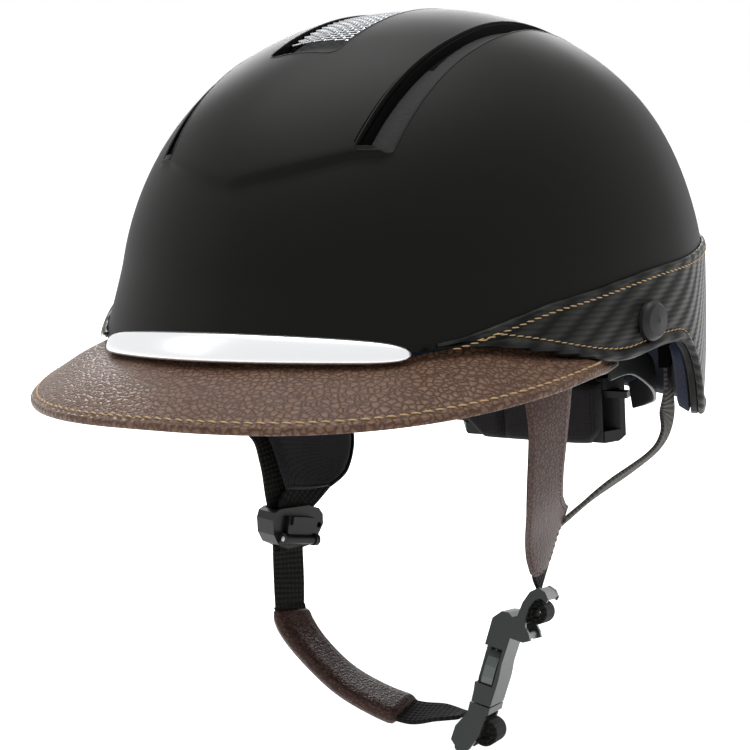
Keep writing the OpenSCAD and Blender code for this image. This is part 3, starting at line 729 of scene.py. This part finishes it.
def vent_inserts():
    """A dark channel under each slot, with a raised bridge towards its front."""
    ys = np.linspace(-100, 36, 60)
    inner, outer = slot_edges(ys)
    depth = CHANNEL_DEPTH - BRIDGE_RISE * (smooth((ys + 64) / 4) - smooth((ys + 36) / 8))
    for side, name in SIDES:
        wall, under = np.array([side * CHANNEL_WALL, 0, 0]), np.array([0, 0, CHANNEL_OUTSIDE])
        rings = []
        for y, x0, x1, d in zip(ys, inner + CHANNEL_GAP, outer - CHANNEL_GAP, depth):
            a, b = dome_top(side * x0, y, CHANNEL_OFF), dome_top(side * x1, y, CHANNEL_OFF)
            floor = np.array([0, 0, d])
            rings.append([a, a - under, b - under, b, b - wall, b - floor - wall, a - floor + wall, a + wall])
        loft(name + "_channel", rings, INSERT, "shell", replaces=(name + "_vent_channel",), slot="vent_black")


def strand(p0, p1):
    """Corners of one flat strand of the grille."""
    run = unit(p1 - p0)
    up = unit(STRAND_LEAN - run * np.dot(STRAND_LEAN, run))
    side = np.cross(run, up)
    return [p + side * w + up * h for p in (p0 - run * 0.3, p1 + run * 0.3)
            for w, h in ((-0.4, -0.2), (0.4, -0.2), (0.4, 0.2), (-0.4, 0.2))]


def grille():
    """Expanded-metal mesh: bright bent strands round diamond openings."""
    px, py = 2 * GRILLE_HALF / GRILLE_COLUMNS, GRILLE_LENGTH / GRILLE_ROWS
    verts, faces = [], []
    for r in range(GRILLE_ROWS * 2 + 1):
        for c in range(GRILLE_COLUMNS):
            x = -GRILLE_HALF + (c + (0.5 if r % 2 == 0 else 1.0)) * px
            y = GRILLE_FRONT + r * py / 2
            for dx in (-0.5, 0.5):
                x1, y1 = x + dx * px, y + py / 2
                if y > VENT_REAR - 0.5 or abs(x1) > GRILLE_HALF + 0.6 or y1 > VENT_REAR:
                    continue
                base = len(verts)
                verts += strand(dome_top(x, y, -1.3) + [0, 0, 0.35], dome_top(x1, y1, -1.3) - [0, 0, 0.15])
                faces += [(base, base + 1, base + 2, base + 3), (base + 7, base + 6, base + 5, base + 4)]
                for i in range(4):
                    n = (i + 1) % 4
                    faces.append((base + i, base + 4 + i, base + 4 + n, base + n))
    make("grille_mesh", verts, faces, CHROME, "shell", replaces=("vent_grille",), slot="grille_metal",
         smooth_angle=20)


def vent_tray():
    """Dark tray under the grille and its intake."""
    w, t, d = VENT_HALF - 0.3, TRAY_WALL, TRAY_DEPTH
    section = [(-w, 0), (-w, d), (w, d), (w, 0), (w - t, 0), (w - t, d - t), (t - w, d - t), (t - w, 0)]
    rings = [[dome_top(x, y, TRAY_OFF) - [0, 0, down] for x, down in section]
             for y in np.linspace(VENT_FRONT + 0.4, VENT_REAR - 0.4, 40)]
    loft("vent_tray", rings, VENT_BLACK, "shell", replaces=("vent_intake",), slot="vent_black")


# ---- band ----
BAND_START = 30.6
BAND_TAPER = 14.0
TRIM_HALF_ANGLE = 27.0
# The band's rolled lower edge, as (offset, height)
BAND_SECTION = [(0.15, 1.2), (0.2, 0.2), (0.9, -0.35), (1.8, -0.2), (2.5, 0.5), (2.75, 1.5), (2.5, 2.5),
                (1.85, 3.2), (1.35, 3.6), (1.45, 4.3), (1.6, 5.2)]


def band_section(height):
    """(offset, height) points of the band's section: rolled lower edge, flat web, rounded top."""
    k = min(1.0, height / 9.0)
    low = [(0.15 + (o - 0.15) * k, h * k) for o, h in BAND_SECTION]
    start = 5.2 * k
    end = height - 1.5 * k
    web = [(1.65 - 0.1 * i / 5, start + (end - start) * i / 6) for i in range(1, 7)]
    top = [(1.62, height - 0.9 * k), (1.4, height - 0.35 * k), (0.9, height), (0.35, height),
           (0.15, height - 0.4 * k)]
    return np.array(low + web + top)


def band_row(name, height, lift, start, **rest):
    """Stitches round the band, at a height that depends on its lower and upper edge."""
    phis = np.arange(start, 360 - start + 0.1, 1.0)
    zs = [height(float(edge_z(phi)), float(band_top(phi))) for phi in phis]
    pts = np.array([dome(phi, z, lift) for phi, z in zip(phis, zs)])
    normals = np.array([outward(phi, z) for phi, z in zip(phis, zs)])
    stitches(name, pts, normals, THREAD, "shell", **rest)


def band_piece():
    """The textured band round the sides and back, with its two rows of stitches."""
    taper = BAND_TAPER * np.linspace(0, 1, 29) ** 1.3
    phis = np.concatenate([BAND_START + taper, np.arange(46, 314.1, 1.6), 360 - BAND_START - taper[::-1]])
    rings, uv = [], []
    for phi, run in zip(phis, arc_length(dome(phis, edge_z(phis)))):
        bottom, top = float(edge_z(phi)), float(band_top(phi))
        section = band_section(max(top, bottom + 0.5) - bottom)
        rings.append(np.array([dome(phi, bottom + h, o) for o, h in section]))
        uv.append([(run * MM, (bottom + h + o) * MM) for o, h in section])
    loft("band_cover", rings, TWILL, "shell", replaces=("side_band",), slot="band_carbon", uv=uv,
         smooth_angle=60)
    band_row("band_stitch_top", lambda low, high: high - 2.6, 1.62, 32.5,
             pitch=3.0, length=2.75, radius=0.21, turn=-14)
    band_row("band_stitch_low", lambda low, high: low + 3.9 if high - low > 6 else (high + low) / 2, 1.5, 36,
             pitch=2.8, length=2.5, radius=0.2, turn=8)


def trim_piece():
    """Silver bar across the front, tapered to its blunt ends."""
    rings = []
    for t in np.linspace(-1, 1, 81):
        phi = t * TRIM_HALF_ANGLE
        pinch = math.sqrt(max(0.0, 1 - abs(t) ** 14 * 0.97))
        mid = 13.3 - 4.8 * abs(t) ** 1.8
        h = (4.25 - 1.4 * t * t) * pinch
        out = []
        for a in np.radians(range(-90, 91, 10)):
            out.append(dome(phi, mid + h * math.sin(a), 0.15 + 2.3 * pinch * max(0, math.cos(a)) ** 0.45))
        back = [dome(phi, mid + h * 0.9, -0.15), dome(phi, mid - h * 0.9, -0.15)]
        rings.append(out + back)
    loft("trim_bar", rings, SILVER, "shell", replaces=("front_trim",), slot="trim_silver", smooth_angle=55)


# ---- peak ----
# The peak's rim is a superellipse round (0, -PEAK_BACK); t is its angle in degrees from the front
PEAK_END = 85.5
PEAK_HALF = 105.0
PEAK_REACH = 148.0
PEAK_BACK = 22.6
RIM_POWER = 0.835
ROOT_TURN_UP = 1.1


def peak_rim(t):
    s = abs(math.sin(math.radians(t))) ** RIM_POWER
    y = PEAK_REACH * math.cos(math.radians(t)) ** RIM_POWER
    k = float(smooth((abs(t) - 72) / 13.5))
    x = math.copysign(PEAK_HALF * s * (1 - 0.09 * k), t)
    return np.array([x, -PEAK_BACK - y, 8.5 - y * 0.074 - 8.15 * s * s - 6 * k])


def peak_root(t):
    phi = t * 62 / PEAK_END
    return dome(phi, float(edge_z(phi)) - 1.2 - 1.8 * bell(abs(phi), 24, 9), -4)


def peak_frame(t):
    root, rim = peak_root(t), peak_rim(t)
    return root, rim, unit(np.array([rim[0] - root[0], rim[1] - root[1], 0.0]))


def peak_point(t, s, drop=0.0):
    """A point drop below the peak's top face; s runs from its root to its rim."""
    root, rim, _ = peak_frame(t)
    return lerp(root, rim, s) + np.array([0, 0, 1.2 * math.sin(math.pi * s) - drop])


# The rolled rim, as (outwards, down)
RIM_SECTION = [(0.3, 0.05), (0.6, 0.22), (0.8, 0.5), (0.9, 0.9), (0.9, 1.4), (0.85, 1.9), (0.65, 2.3),
               (0.3, 2.5), (-0.3, 2.6)]


def peak_piece():
    """Leather over the peak and round its rim, and the cloth under it."""
    ends = 6 * np.linspace(0, 1, 12)
    ts = np.concatenate([-PEAK_END + ends, np.linspace(-79, 79, 121), PEAK_END - ends])
    rings, under = [], []
    for t in np.unique(np.round(ts, 4)):
        root, rim, out = peak_frame(t)
        top = [peak_point(t, s) for s in np.linspace(0, 1, 24)]
        # The root turns up behind the shell's edge, so no light shows under it
        top[0] = top[0] + [0, 0, ROOT_TURN_UP]
        edge = [rim + out * o - [0, 0, d] for o, d in RIM_SECTION]
        low = [peak_point(t, s, 1.6) for s in np.linspace(0.975, 0, 8)]
        low[0] = lerp(root, rim, 0.98) - [0, 0, 2.5]
        rings.append(top + edge + low)
        under.append([peak_point(t, s, 3.1 if s < 0.93 else 2.75) for s in np.linspace(0, 0.985, 14)]
                     + [peak_point(t, s, 2.4) for s in np.linspace(0.985, 0, 10)])
    loft("peak_cover", rings, LEATHER, "shell", replaces=("peak_leather",), slot="leather_brown",
         smooth_angle=70)
    loft("peak_underside", under, PEAK_CLOTH, "shell", replaces=("peak_lining",), slot="peak_cloth",
         smooth_angle=70)


def peak_stitching():
    """Stitches 1.7 mm inside the peak's rim."""
    pts, normals = [], []
    for t in np.linspace(-83.5, 83.5, 300):
        root, rim, _ = peak_frame(t)
        s = max(0.3, 1 - 1.7 / max(np.linalg.norm((rim - root)[:2]), 5.0))
        p = peak_point(t, s)
        along = peak_point(t + 0.3, s) - peak_point(t - 0.3, s)
        n = unit(np.cross(along, p - peak_point(t, s - 0.03)))
        normals.append(n if n[2] > 0 else -n)
        pts.append(p)
    stitches("peak_stitches", np.array(pts), np.array(normals), THREAD, "shell",
             pitch=3.7, length=3.1, radius=0.32, turn=-10, lift=0.04)


# ---- foam, lining and pads ----
LINER_OUT = -3.3
LINER_IN = -21.3
PAD_OUT = -21.9
PAD_IN = -27.9
LINER_FLOOR = -7.0
LINER_COLUMNS, LINER_ROWS = 120, 36
CUSHION_CORNER = 6.0
CUSHION_EDGE = 0.6


def foam_piece():
    """The foam liner: a thick dome that ends above the nape lining."""
    phi = np.linspace(0, 360, LINER_COLUMNS, endpoint=False)
    foot = np.maximum(edge_z(phi) + 0.8, LINER_FLOOR)
    rows = []
    for off in (LINER_OUT, LINER_IN):
        for j in range(LINER_ROWS):
            rise = math.sin(math.pi / 2 * j / LINER_ROWS)
            rows.append(dome(phi, foot + (CROWN + off - foot) * rise, off))
    tops = [[0, 0, CROWN + LINER_OUT], [0, 0, CROWN + LINER_IN]]
    faces = double_wall_faces(LINER_COLUMNS, LINER_ROWS)
    make("foam_body", np.concatenate(rows + [tops]), faces, FOAM, "shell", replaces=("foam_liner",),
         slot="foam_black", smooth_angle=50)


def cushion(name, phi0, phi1, low, high, replaces, channels):
    """A crowned pad against the foam: thin at its sewn edge, full in the middle, with sewn channels."""
    nu, nv = 64, 20
    width = abs(phi1 - phi0) / 57.3 * 85
    rings = []
    for i in range(nu + 1):
        u = i / nu
        phi = lerp(phi0, phi1, u)
        du = min(u, 1 - u) * width
        inset = CUSHION_CORNER * (1 - rounded(du, CUSHION_CORNER))
        lo, hi = low + inset, high - inset
        seam = 0.5 - abs((u * channels) % 1.0 - 0.5)
        outer, inner = [], []
        for j in range(nv + 1):
            v = j / nv
            z = lerp(lo, hi, v)
            full = rounded(min(du, min(v, 1 - v) * (hi - lo)), 7.0)
            full *= 1 - 0.45 * bell(seam * width / channels, 0, 1.6)
            outer.append(dome(phi, z, PAD_OUT))
            inner.append(dome(phi, z, PAD_OUT - CUSHION_EDGE - (PAD_OUT - PAD_IN - CUSHION_EDGE) * full))
        rings.append(outer + inner[::-1])
    obj = loft(name, rings, NAVY, "shell", replaces=replaces, slot="lining_navy", smooth_angle=60)


def nape_cushion():
    """Lining on the foam round the nape, from ear to ear."""
    rings = []
    for phi in np.linspace(89, 271, 90):
        lo, hi = float(edge_z(phi)) + 0.8, -7.8
        outer = [dome(phi, lerp(lo, hi, v), LINER_OUT) for v in np.linspace(0, 1, 9)]
        inner = []
        for v in np.linspace(1, 0, 17):
            full = rounded(min(v, 1 - v) * (hi - lo), 5.0)
            inner.append(dome(phi, lerp(lo, hi, v), LINER_OUT - CUSHION_EDGE - 4.1 * full))
        rings.append(outer + inner)
    obj = loft("nape_cushion", rings, NAVY, "shell", replaces=("nape_lining",), slot="lining_navy",
               smooth_angle=60)


def padding():
    foam_piece()
    cushion("brow_cushion", -62, 62, 11.0, 36.0, ("brow_pad",), 5)
    for side, name in SIDES:
        cushion(name + "_side_cushion", side * 68, side * 150, 8.0, 36.0, (name + "_side_pad",), 3)
    for turn in (0, 90, 180, 270):
        replaced = ("crown_pad",) if turn == 0 else ()
        cushion("crown_cushion_%d" % turn, turn - 26, turn + 26, 50.0, 80.0, replaced, 2)
    nape_cushion()


# ---- straps ----
# Each strap has a point and a width direction for every bend; the tabs are its ends under the shell
TAB = dome(50.0, 4.0, -11.6)
TAB_DROPS = (-1, -5, -9)
TAB_ACROSS = (math.sin(math.radians(40)), math.cos(math.radians(40)), 0)
R_TAB_ACROSS = (-TAB_ACROSS[0], TAB_ACROSS[1], 0)
REAR_TAB_ACROSS = (-0.21, 0.98, 0)
LEFT_FRONT = [(TAB[0], TAB[1], z) for z in TAB_DROPS] + [
    (79, -64, -24), (72, -54.6, -51), (64.6, -41, -71), (60.4, -32.2, -86.5), (59.3, -29.2, -92.6)]
LEFT_FRONT_ACROSS = [TAB_ACROSS] * 3 + [
    (0.45, 0.9, 0.2), (0.35, 0.92, 0.3), (0.2, 0.92, 0.2), (-0.05, 0.93, -0.05), (-0.19, 0.93, -0.32)]
LEFT_REAR = [(64.6, -27, -73.5), (68, -18.5, -70.3), (73.5, -6, -65), (80, 20, -60.7), (84, 32, -55),
             (84.6, 39.5, -46), (84.8, 41, -34), (84.8, 41, -26), (84.8, 41, -21)]
LEFT_REAR_ACROSS = [(-0.65, 0.44, -0.62)] * 3 + [
    (-0.6, 0.5, -0.6), (-0.3, 0.8, -0.5), (0, 1, -0.3)] + [REAR_TAB_ACROSS] * 3
RIGHT_FRONT = [(-TAB[0], TAB[1], z) for z in TAB_DROPS] + [
    (-65.4, -46.6, -26), (-58.8, -32.4, -42), (-55.6, -30.7, -56), (-53.7, -31.3, -70), (-52, -31.4, -83),
    (-50.8, -34, -98), (-48.6, -38.4, -111), (-48.1, -39.5, -114.8)]
RIGHT_FRONT_ACROSS = [R_TAB_ACROSS] * 3 + [
    (0.3, 0.9, 0.2), (0.2, 0.95, 0.2), (0.2, 0.95, 0.1)] + [(0.25, 0.97, 0)] * 3 + [(0.2, 0.97, 0)] * 2
RIGHT_REAR = [(-48.2, -31.8, -93), (-49.3, -31.2, -83), (-49, -29.5, -75.5), (-48.4, -18, -69.4),
              (-53.2, -1, -67.4), (-62, 20.5, -61), (-72.3, 37, -52.4), (-80.5, 42, -45.6),
              (-84.4, 41.4, -36), (-84.8, 41, -26), (-84.8, 41, -21)]
RIGHT_REAR_ACROSS = [(0.25, 0.97, 0), (0.25, 0.97, 0), (0.25, 0.9, -0.25), (0.4, 0.6, -0.6),
                     (0.55, 0.5, -0.62), (0.65, 0.44, -0.62), (0.5, 0.6, -0.6), (0.2, 0.9, -0.4),
                     (0.21, 0.98, 0), (0.21, 0.98, 0), (0.21, 0.98, 0)]
WEB_HALF = 7.8
WEB_THICK = 1.6
COVER_LIFT = 1.8
# Half widths of the left cover, to its front and to its rear edge, by share of its length
COVER_FRONT = ([0, 0.2, 0.45, 0.62, 0.78, 0.88, 0.94, 0.98, 1.0],
               [9.2, 9.2, 9.4, 10.6, 11.4, 11.0, 8.6, 4.6, 1.6])
COVER_REAR = ([0, 0.2, 0.45, 0.6, 0.68, 0.73, 0.78, 0.88, 0.95, 1.0],
              [8.4, 8.4, 8.6, 9.6, 11.6, 14.0, 12.8, 8.4, 5.4, 1.6])


def cover_section(front, rear):
    """(across, up) points of the leather cover, with turned-in edges and a sewn groove."""
    top, under = [], []
    for j in range(13):
        x = lerp(-front, rear, j / 12)
        d = min(x + front, rear - x)
        top.append((x, 0.6 - 0.5 * (1 - min(1, d / 1.1)) ** 2 - 0.16 * bell(d, 2.0, 0.5)))
    for x in np.linspace(rear, -front, 9):
        d = min(x + front, rear - x)
        under.append((x, -0.5 + 0.2 * (1 - min(1, d / 1.0)) ** 2))
    return np.array(top + under)


def left_cover():
    """Leather cover of the left strap, flared where the rear strap joins and tapered to a tongue."""
    path, across = spline(LEFT_FRONT[2:7], 12), spline(LEFT_FRONT_ACROSS[2:7], 12)
    t = np.linspace(0, 1, len(path))
    front, rear = np.interp(t, *COVER_FRONT), np.interp(t, *COVER_REAR)
    sections = [cover_section(f, r) + [0, COVER_LIFT] for f, r in zip(front, rear)]
    sweep("strap_cover", path, across, sections, STRAP_LEATHER, "shell", replaces=("left_strap_cover",),
          slot="leather_brown", smooth_angle=60)
    _, w, up = frames(path, across)
    keep = slice(2, -1)
    for name, edge, sign in (("front", front, -1), ("rear", rear, 1)):
        inset = np.maximum(edge - 2.0, 0.2)
        pts = path + w * (sign * inset)[:, None] + up * (COVER_LIFT + 0.5)
        stitches("cover_stitch_" + name, pts[keep], up[keep], DARK_THREAD, "shell",
                 pitch=2.6, length=1.9, radius=0.24, turn=8, lift=0.02)


def strap(name, path, across, body, replaced, weave=WEBBING):
    path, across = spline(path, 10), spline(across, 10)
    sections = [strap_section(WEB_HALF, WEB_THICK)] * len(path)
    return sweep(name, path, across, sections, weave, body, replaces=replaced, slot="webbing_black")


def straps():
    strap("left_front_web", LEFT_FRONT, LEFT_FRONT_ACROSS, "shell", ("left_front_webbing",))
    # The left rear strap wears the lighter webbing, painted light on a black strap
    strap("left_rear_web", LEFT_REAR, LEFT_REAR_ACROSS, "shell", ("left_rear_webbing",), LIT_WEBBING)
    strap("right_rear_web", RIGHT_REAR, RIGHT_REAR_ACROSS, "shell", ("right_rear_webbing",))
    left_cover()
    # The lower strap rides on no body; its placement is baked into its mesh
    lower = strap("right_front_web", RIGHT_FRONT, RIGHT_FRONT_ACROSS, None, ("right_front_webbing",))
    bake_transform(lower)
    fork_pad()


def fork_pad():
    """Padded panel inside the fork of the right straps, with a piped lower edge."""
    front = spline([(-58.2, -38.8, -40), (-56, -37.3, -50), (-53.6, -36.6, -60), (-52.4, -35.5, -68)], 8)
    rear = spline([(-68, 39.5, -57), (-56.8, 22.5, -64.6), (-49, 3, -71), (-46.6, -14, -72.6)], 8)
    inside, thick, droop = np.array([4.2, 0, 1.5]), np.array([2.2, 0, 0.8]), np.array([0.4, 0, -0.8])
    rings = []
    n = len(front)
    for i in range(n):
        inner, outer = [], []
        wide = np.linalg.norm(rear[i] - front[i])
        above_edge = (n - 1 - i) * 4.0
        for v in np.linspace(0, 1, 25):
            sag = droop * math.sin(math.pi * v) * (i / (n - 1)) ** 3
            p = lerp(front[i], rear[i], v) + inside + sag
            full = rounded(min(min(v, 1 - v) * wide, above_edge + 0.4), 5.0)
            full *= 1 - 0.5 * bell(above_edge, 9, 1.4)
            outer.append(p + thick * 0.1)
            inner.append(p + thick * (0.25 + 0.8 * full))
        rings.append(outer + inner[::-1])
    obj = loft("fork_cushion", rings, CRADLE_CLOTH, "shell", replaces=("right_strap_pad",),
               slot="webbing_black", smooth_angle=60)
    tube("fork_piping", rear[:-1] + inside + thick * 0.5, 1.0, WEBBING, "shell")


# ---- buckle ----
def euler(x, y, z):
    turns = [Matrix.Rotation(math.radians(a), 4, axis) for a, axis in ((z, "Z"), (y, "Y"), (x, "X"))]
    return turns[0] @ turns[1] @ turns[2]


BUCKLE_FRAME = Matrix.Translation((45.6, -41.8, -121.6)) @ euler(-19, 14, 7)
ROLL_INNER, ROLL_OUTER, ROLL_TURNS, ROLL_THICK = 1.7, 4.45, 2.3, 1.25


def in_buckle(points):
    """Points given in the buckle's own frame, moved to the row frame."""
    m = np.array(BUCKLE_FRAME)
    return np.asarray(points, float) @ m[:3, :3].T + m[:3, 3]


def roll(name, x, z, turn, body, node):
    """Spare webbing wound round a bar: a spiral strip with ribbed faces."""
    n = 90
    share = np.arange(n) / (n - 1)
    a, r = turn + 2 * math.pi * ROLL_TURNS * share, lerp(ROLL_INNER, ROLL_OUTER, share)
    pts = np.stack([x + r * np.cos(a), z + r * np.sin(a)], -1)
    run = unit(np.gradient(pts, axis=0))
    rings, uv = [], []
    section = strap_section(WEB_HALF, ROLL_THICK)
    for (px, pz), (rx, rz), s in zip(pts, run, arc_length(pts)):
        rings.append(in_buckle([(px + rz * h, w, pz - rx * h) for w, h in section]))
        uv.append(strap_uv(section[:, 0], s))
    loft(name, rings, WEBBING, body, uv=uv, replaces=(node,), slot="webbing_black")


CHIN = [(32.2, -47.2, -144), (24, -49, -143.8), (12, -49.8, -145.4), (-4, -49.2, -142.8),
        (-20, -47.5, -137.6), (-34.4, -45, -129), (-43.9, -42.3, -121), (-48.1, -39.6, -114.4)]
CHIN_ACROSS = [(-0.2, 0.92, -0.32), (-0.2, 0.95, -0.08), (-0.2, 0.95, 0.08), (-0.24, 0.96, 0.06),
               (-0.24, 0.96, 0.05), (-0.16, 0.97, 0.05), (0.04, 0.98, 0.04), (0.2, 0.97, 0)]
CHIN_PAD_HALF = 9.2
CHIN_PAD_START, CHIN_PAD_END = 22, -3
CHIN_SEAM = 6.6
SHARP_ANGLE = 35.0


def chin_section(half, thick):
    """(across, up) points of the chin pad: crowned faces with a sewn groove near each edge."""
    top = []
    for v in np.linspace(-1, 1, 19):
        x = half * v
        e = half - abs(x)
        h = max(thick * rounded(e, 3.2), 0.35 if e < 0.4 else 0.55)
        top.append((x, h - 0.45 * bell(e, 2.6, 0.6)))
    return np.array(top + [(x, -h) for x, h in top[::-1]])


def chin_pad(path, across):
    """Leather pad sewn round the chin strap."""
    sections = []
    s = arc_length(path)
    for run in s:
        d = min(run, s[-1] - run)
        half = CHIN_PAD_HALF - 0.8 * (1 - min(1, d / 4.0)) ** 2
        sections.append(chin_section(half, lerp(0.9, 3.1, rounded(d, 3.0))))
    pad = sweep("chin_cushion", path, across, sections, STRAP_LEATHER, "chin_strap", replaces=("chin_pad",),
                slot="leather_brown", smooth_angle=60)
    _, w, up = frames(path, across)
    for side, tag in ((1, "a"), (-1, "b")):
        for face, mark in ((1, "up"), (-1, "down")):
            pts = path + w * (side * CHIN_SEAM) + up * (face * 2.45)
            stitches("chin_stitch_%s_%s" % (tag, mark), pts[3:-3], up[3:-3] * face, DARK_THREAD, "chin_strap",
                     pitch=3.0, length=2.2, radius=0.26, turn=6, lift=0.02)


def chin():
    strap("chin_web", CHIN, CHIN_ACROSS, "chin_strap", ("chin_webbing",))
    padded = slice(CHIN_PAD_START, CHIN_PAD_END)
    chin_pad(spline(CHIN, 10)[padded], spline(CHIN_ACROSS, 10)[padded])


def bevel(node, width, material_, segments=2):
    """Rounds a CAD node's edges and paints it."""
    obj = NODES[node]
    mod = obj.modifiers.new("edges", "BEVEL")
    mod.width = width * MM
    mod.segments = segments
    mod.limit_method = "ANGLE"
    mod.angle_limit = math.radians(SHARP_ANGLE)
    mod.harden_normals = False
    paint(node, material_)
    shade(obj, SHARP_ANGLE)


def paint(node, material_):
    obj = NODES[node]
    obj.data.materials.clear()
    obj.data.materials.append(material_)


def hardware():
    """The CAD nodes that are shown as they are, with rounded edges and their materials."""
    for material_, width, nodes in (
            (BUCKLE, 0.45, ("buckle_socket", "buckle_plug")), (PRONG, 0.3, ("front_prong", "rear_prong")),
            (RIVET, 0.5, ("strap_divider",)), (RIVET, 0.35, ("divider_lock",)),
            (RIVET, 0.4, ("left_rivet", "right_rivet")), (CRADLE, 0.4, ("cradle_cover",)),
            (BUCKLE, 0.5, ("dial_knob",)), (INSERT, 0.4, ("left_front_anchor", "right_front_anchor")),
            (INSERT, 0.4, ("left_rear_anchor", "right_rear_anchor"))):
        for node in nodes:
            bevel(node, width, material_)
    bevel("cradle_housing", 0.9, CRADLE, segments=3)
    for node in ("divider_pin", "left_rivet_washer", "right_rivet_washer"):
        paint(node, STEEL)
    for node in ("dial_pinion", "left_rack", "right_rack"):
        paint(node, CRADLE)
    paint("peak_core", VENT_BLACK)
    roll("upper_winding", 9.9, 20.8, 2.4, "shell", "upper_roll")
    roll("lower_winding", 4.0, -26.4, 0.4, "chin_strap", "lower_roll")


# ---- nape cradle ----
SIDE_ARM = [(84.6, -20, -13.6), (84.6, 2, -16), (81.5, 30, -27), (72, 62, -40), (59, 89, -49),
            (47.2, 102, -54.6)]
ARM_HALF, ARM_THICK = 6.0, 1.2


def nape_pad():
    """Crowned pad on the cradle's front face, with its two lower corners cut off."""
    lo, hi = (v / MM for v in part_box("cradle_pad"))
    nu, nv = 40, 24
    rings = []
    half_w, half_h = (hi.x - lo.x) / 2 - 0.2, (hi.z - lo.z) / 2 - 0.2
    centre = (hi.z + lo.z) / 2
    for i in range(nu + 1):
        u = -1 + 2 * i / nu
        x, h = u * half_w, half_h * (1 - 0.12 * abs(u) ** 6)
        low = -h + max(0.0, -x - 23) * 0.92 + max(0.0, x - 29.5)
        front, back = [], []
        for j in range(nv + 1):
            z = lerp(low, h, j / nv)
            full = rounded(min((1 - abs(u)) * half_w, z - low, h - z), 5.0)
            full *= 1 - 0.5 * bell(abs(x), 12, 1.5)
            front.append((x, hi.y - 0.6 - (hi.y - lo.y - 0.9) * full, z + centre))
            back.append((x, hi.y - 0.1, z + centre))
        rings.append(front + back[::-1])
    pad = loft("nape_pad", rings, CRADLE_CLOTH, "cradle", replaces=("cradle_pad",), slot="cradle_cloth",
               smooth_angle=60)


def cradle():
    nape_pad()
    for side, name in SIDES:
        path = spline([(side * x, y, z) for x, y, z in SIDE_ARM], 14)
        sections = [strap_section(ARM_HALF, ARM_THICK)] * len(path)
        piece = sweep(name + "_side_arm", path, np.tile([0, 0, 1.0], (len(path), 1)), sections, CRADLE, None,
                      replaces=(name + "_side_strap",), slot="cradle_grey")
        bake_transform(piece)


# ---- build ----
shell_piece()
vent_lips()
vent_inserts()
vent_tray()
grille()
band_piece()
trim_piece()
peak_piece()
peak_stitching()
padding()
straps()
chin()
hardware()
cradle()


# ---- camera, floor and light, in metres ----
# The floor lies this far below the part, so that the released chin strap clears it
FLOOR_GAP = 0.04
FLOOR_HALF = 6.0


def camera():
    data = bpy.data.cameras.new("view")
    data.sensor_width = 36
    data.lens = 65.78
    data.clip_start = 0.01
    data.clip_end = 20
    cam = add("view", data)
    right, up = Vector((0.8619, 0.5021, -0.071)), Vector((-0.0424, 0.2109, 0.9766))
    forward = Vector((-0.5053, 0.8387, -0.2031))
    turn = Matrix((right, up, -forward)).transposed()
    cam.matrix_world = Matrix.Translation((0.2573, -0.4668, 0.0865)) @ turn.to_4x4()
    bpy.context.scene.camera = cam


def lamp(name, place, aim, size, power):
    data = bpy.data.lights.new(name, "AREA")
    data.shape = "RECTANGLE"
    data.size, data.size_y = size
    data.energy = power
    obj = add(name, data)
    obj.location = place
    obj.rotation_euler = (Vector(aim) - Vector(place)).to_track_quat("-Z", "Y").to_euler()


def studio():
    """A white floor and world, a lamp above, one behind and a weak one to the left of the view."""
    low = min(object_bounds()[0].z, cad_bounds[0].z) - FLOOR_GAP
    mesh = bpy.data.meshes.new("floor")
    s = FLOOR_HALF
    mesh.from_pydata([(-s, -s, low), (s, -s, low), (s, s, low), (-s, s, low)], [], [(0, 1, 2, 3)])
    floor = add("floor", mesh)
    white = material("floor_white", (0.9, 0.9, 0.9), roughness=0.9, specular=0.1)
    glow = white.node_tree.nodes["Principled BSDF"].inputs
    glow["Emission Color"].default_value = (1, 1, 1, 1)
    glow["Emission Strength"].default_value = 0.3
    mesh.materials.append(white)
    floor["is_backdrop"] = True
    world = bpy.data.worlds.new("studio")
    bpy.context.scene.world = world
    world.use_nodes = True
    sky = world.node_tree.nodes["Background"].inputs
    sky["Color"].default_value = (1, 1, 1, 1)
    sky["Strength"].default_value = 1.0
    lamp("top_box", (-0.15, 0.1, 1.15), (0, 0, 0), (1.0, 1.0), 14)
    lamp("back_box", (-0.75, 1.35, 0.62), (0, -0.02, 0.05), (1.3, 0.5), 16)
    lamp("left_box", (-1.0, -0.9, 0.75), (0, -0.05, 0), (0.6, 0.8), 1.5)
    bpy.context.scene.view_settings.view_transform = "Standard"


camera()
studio()
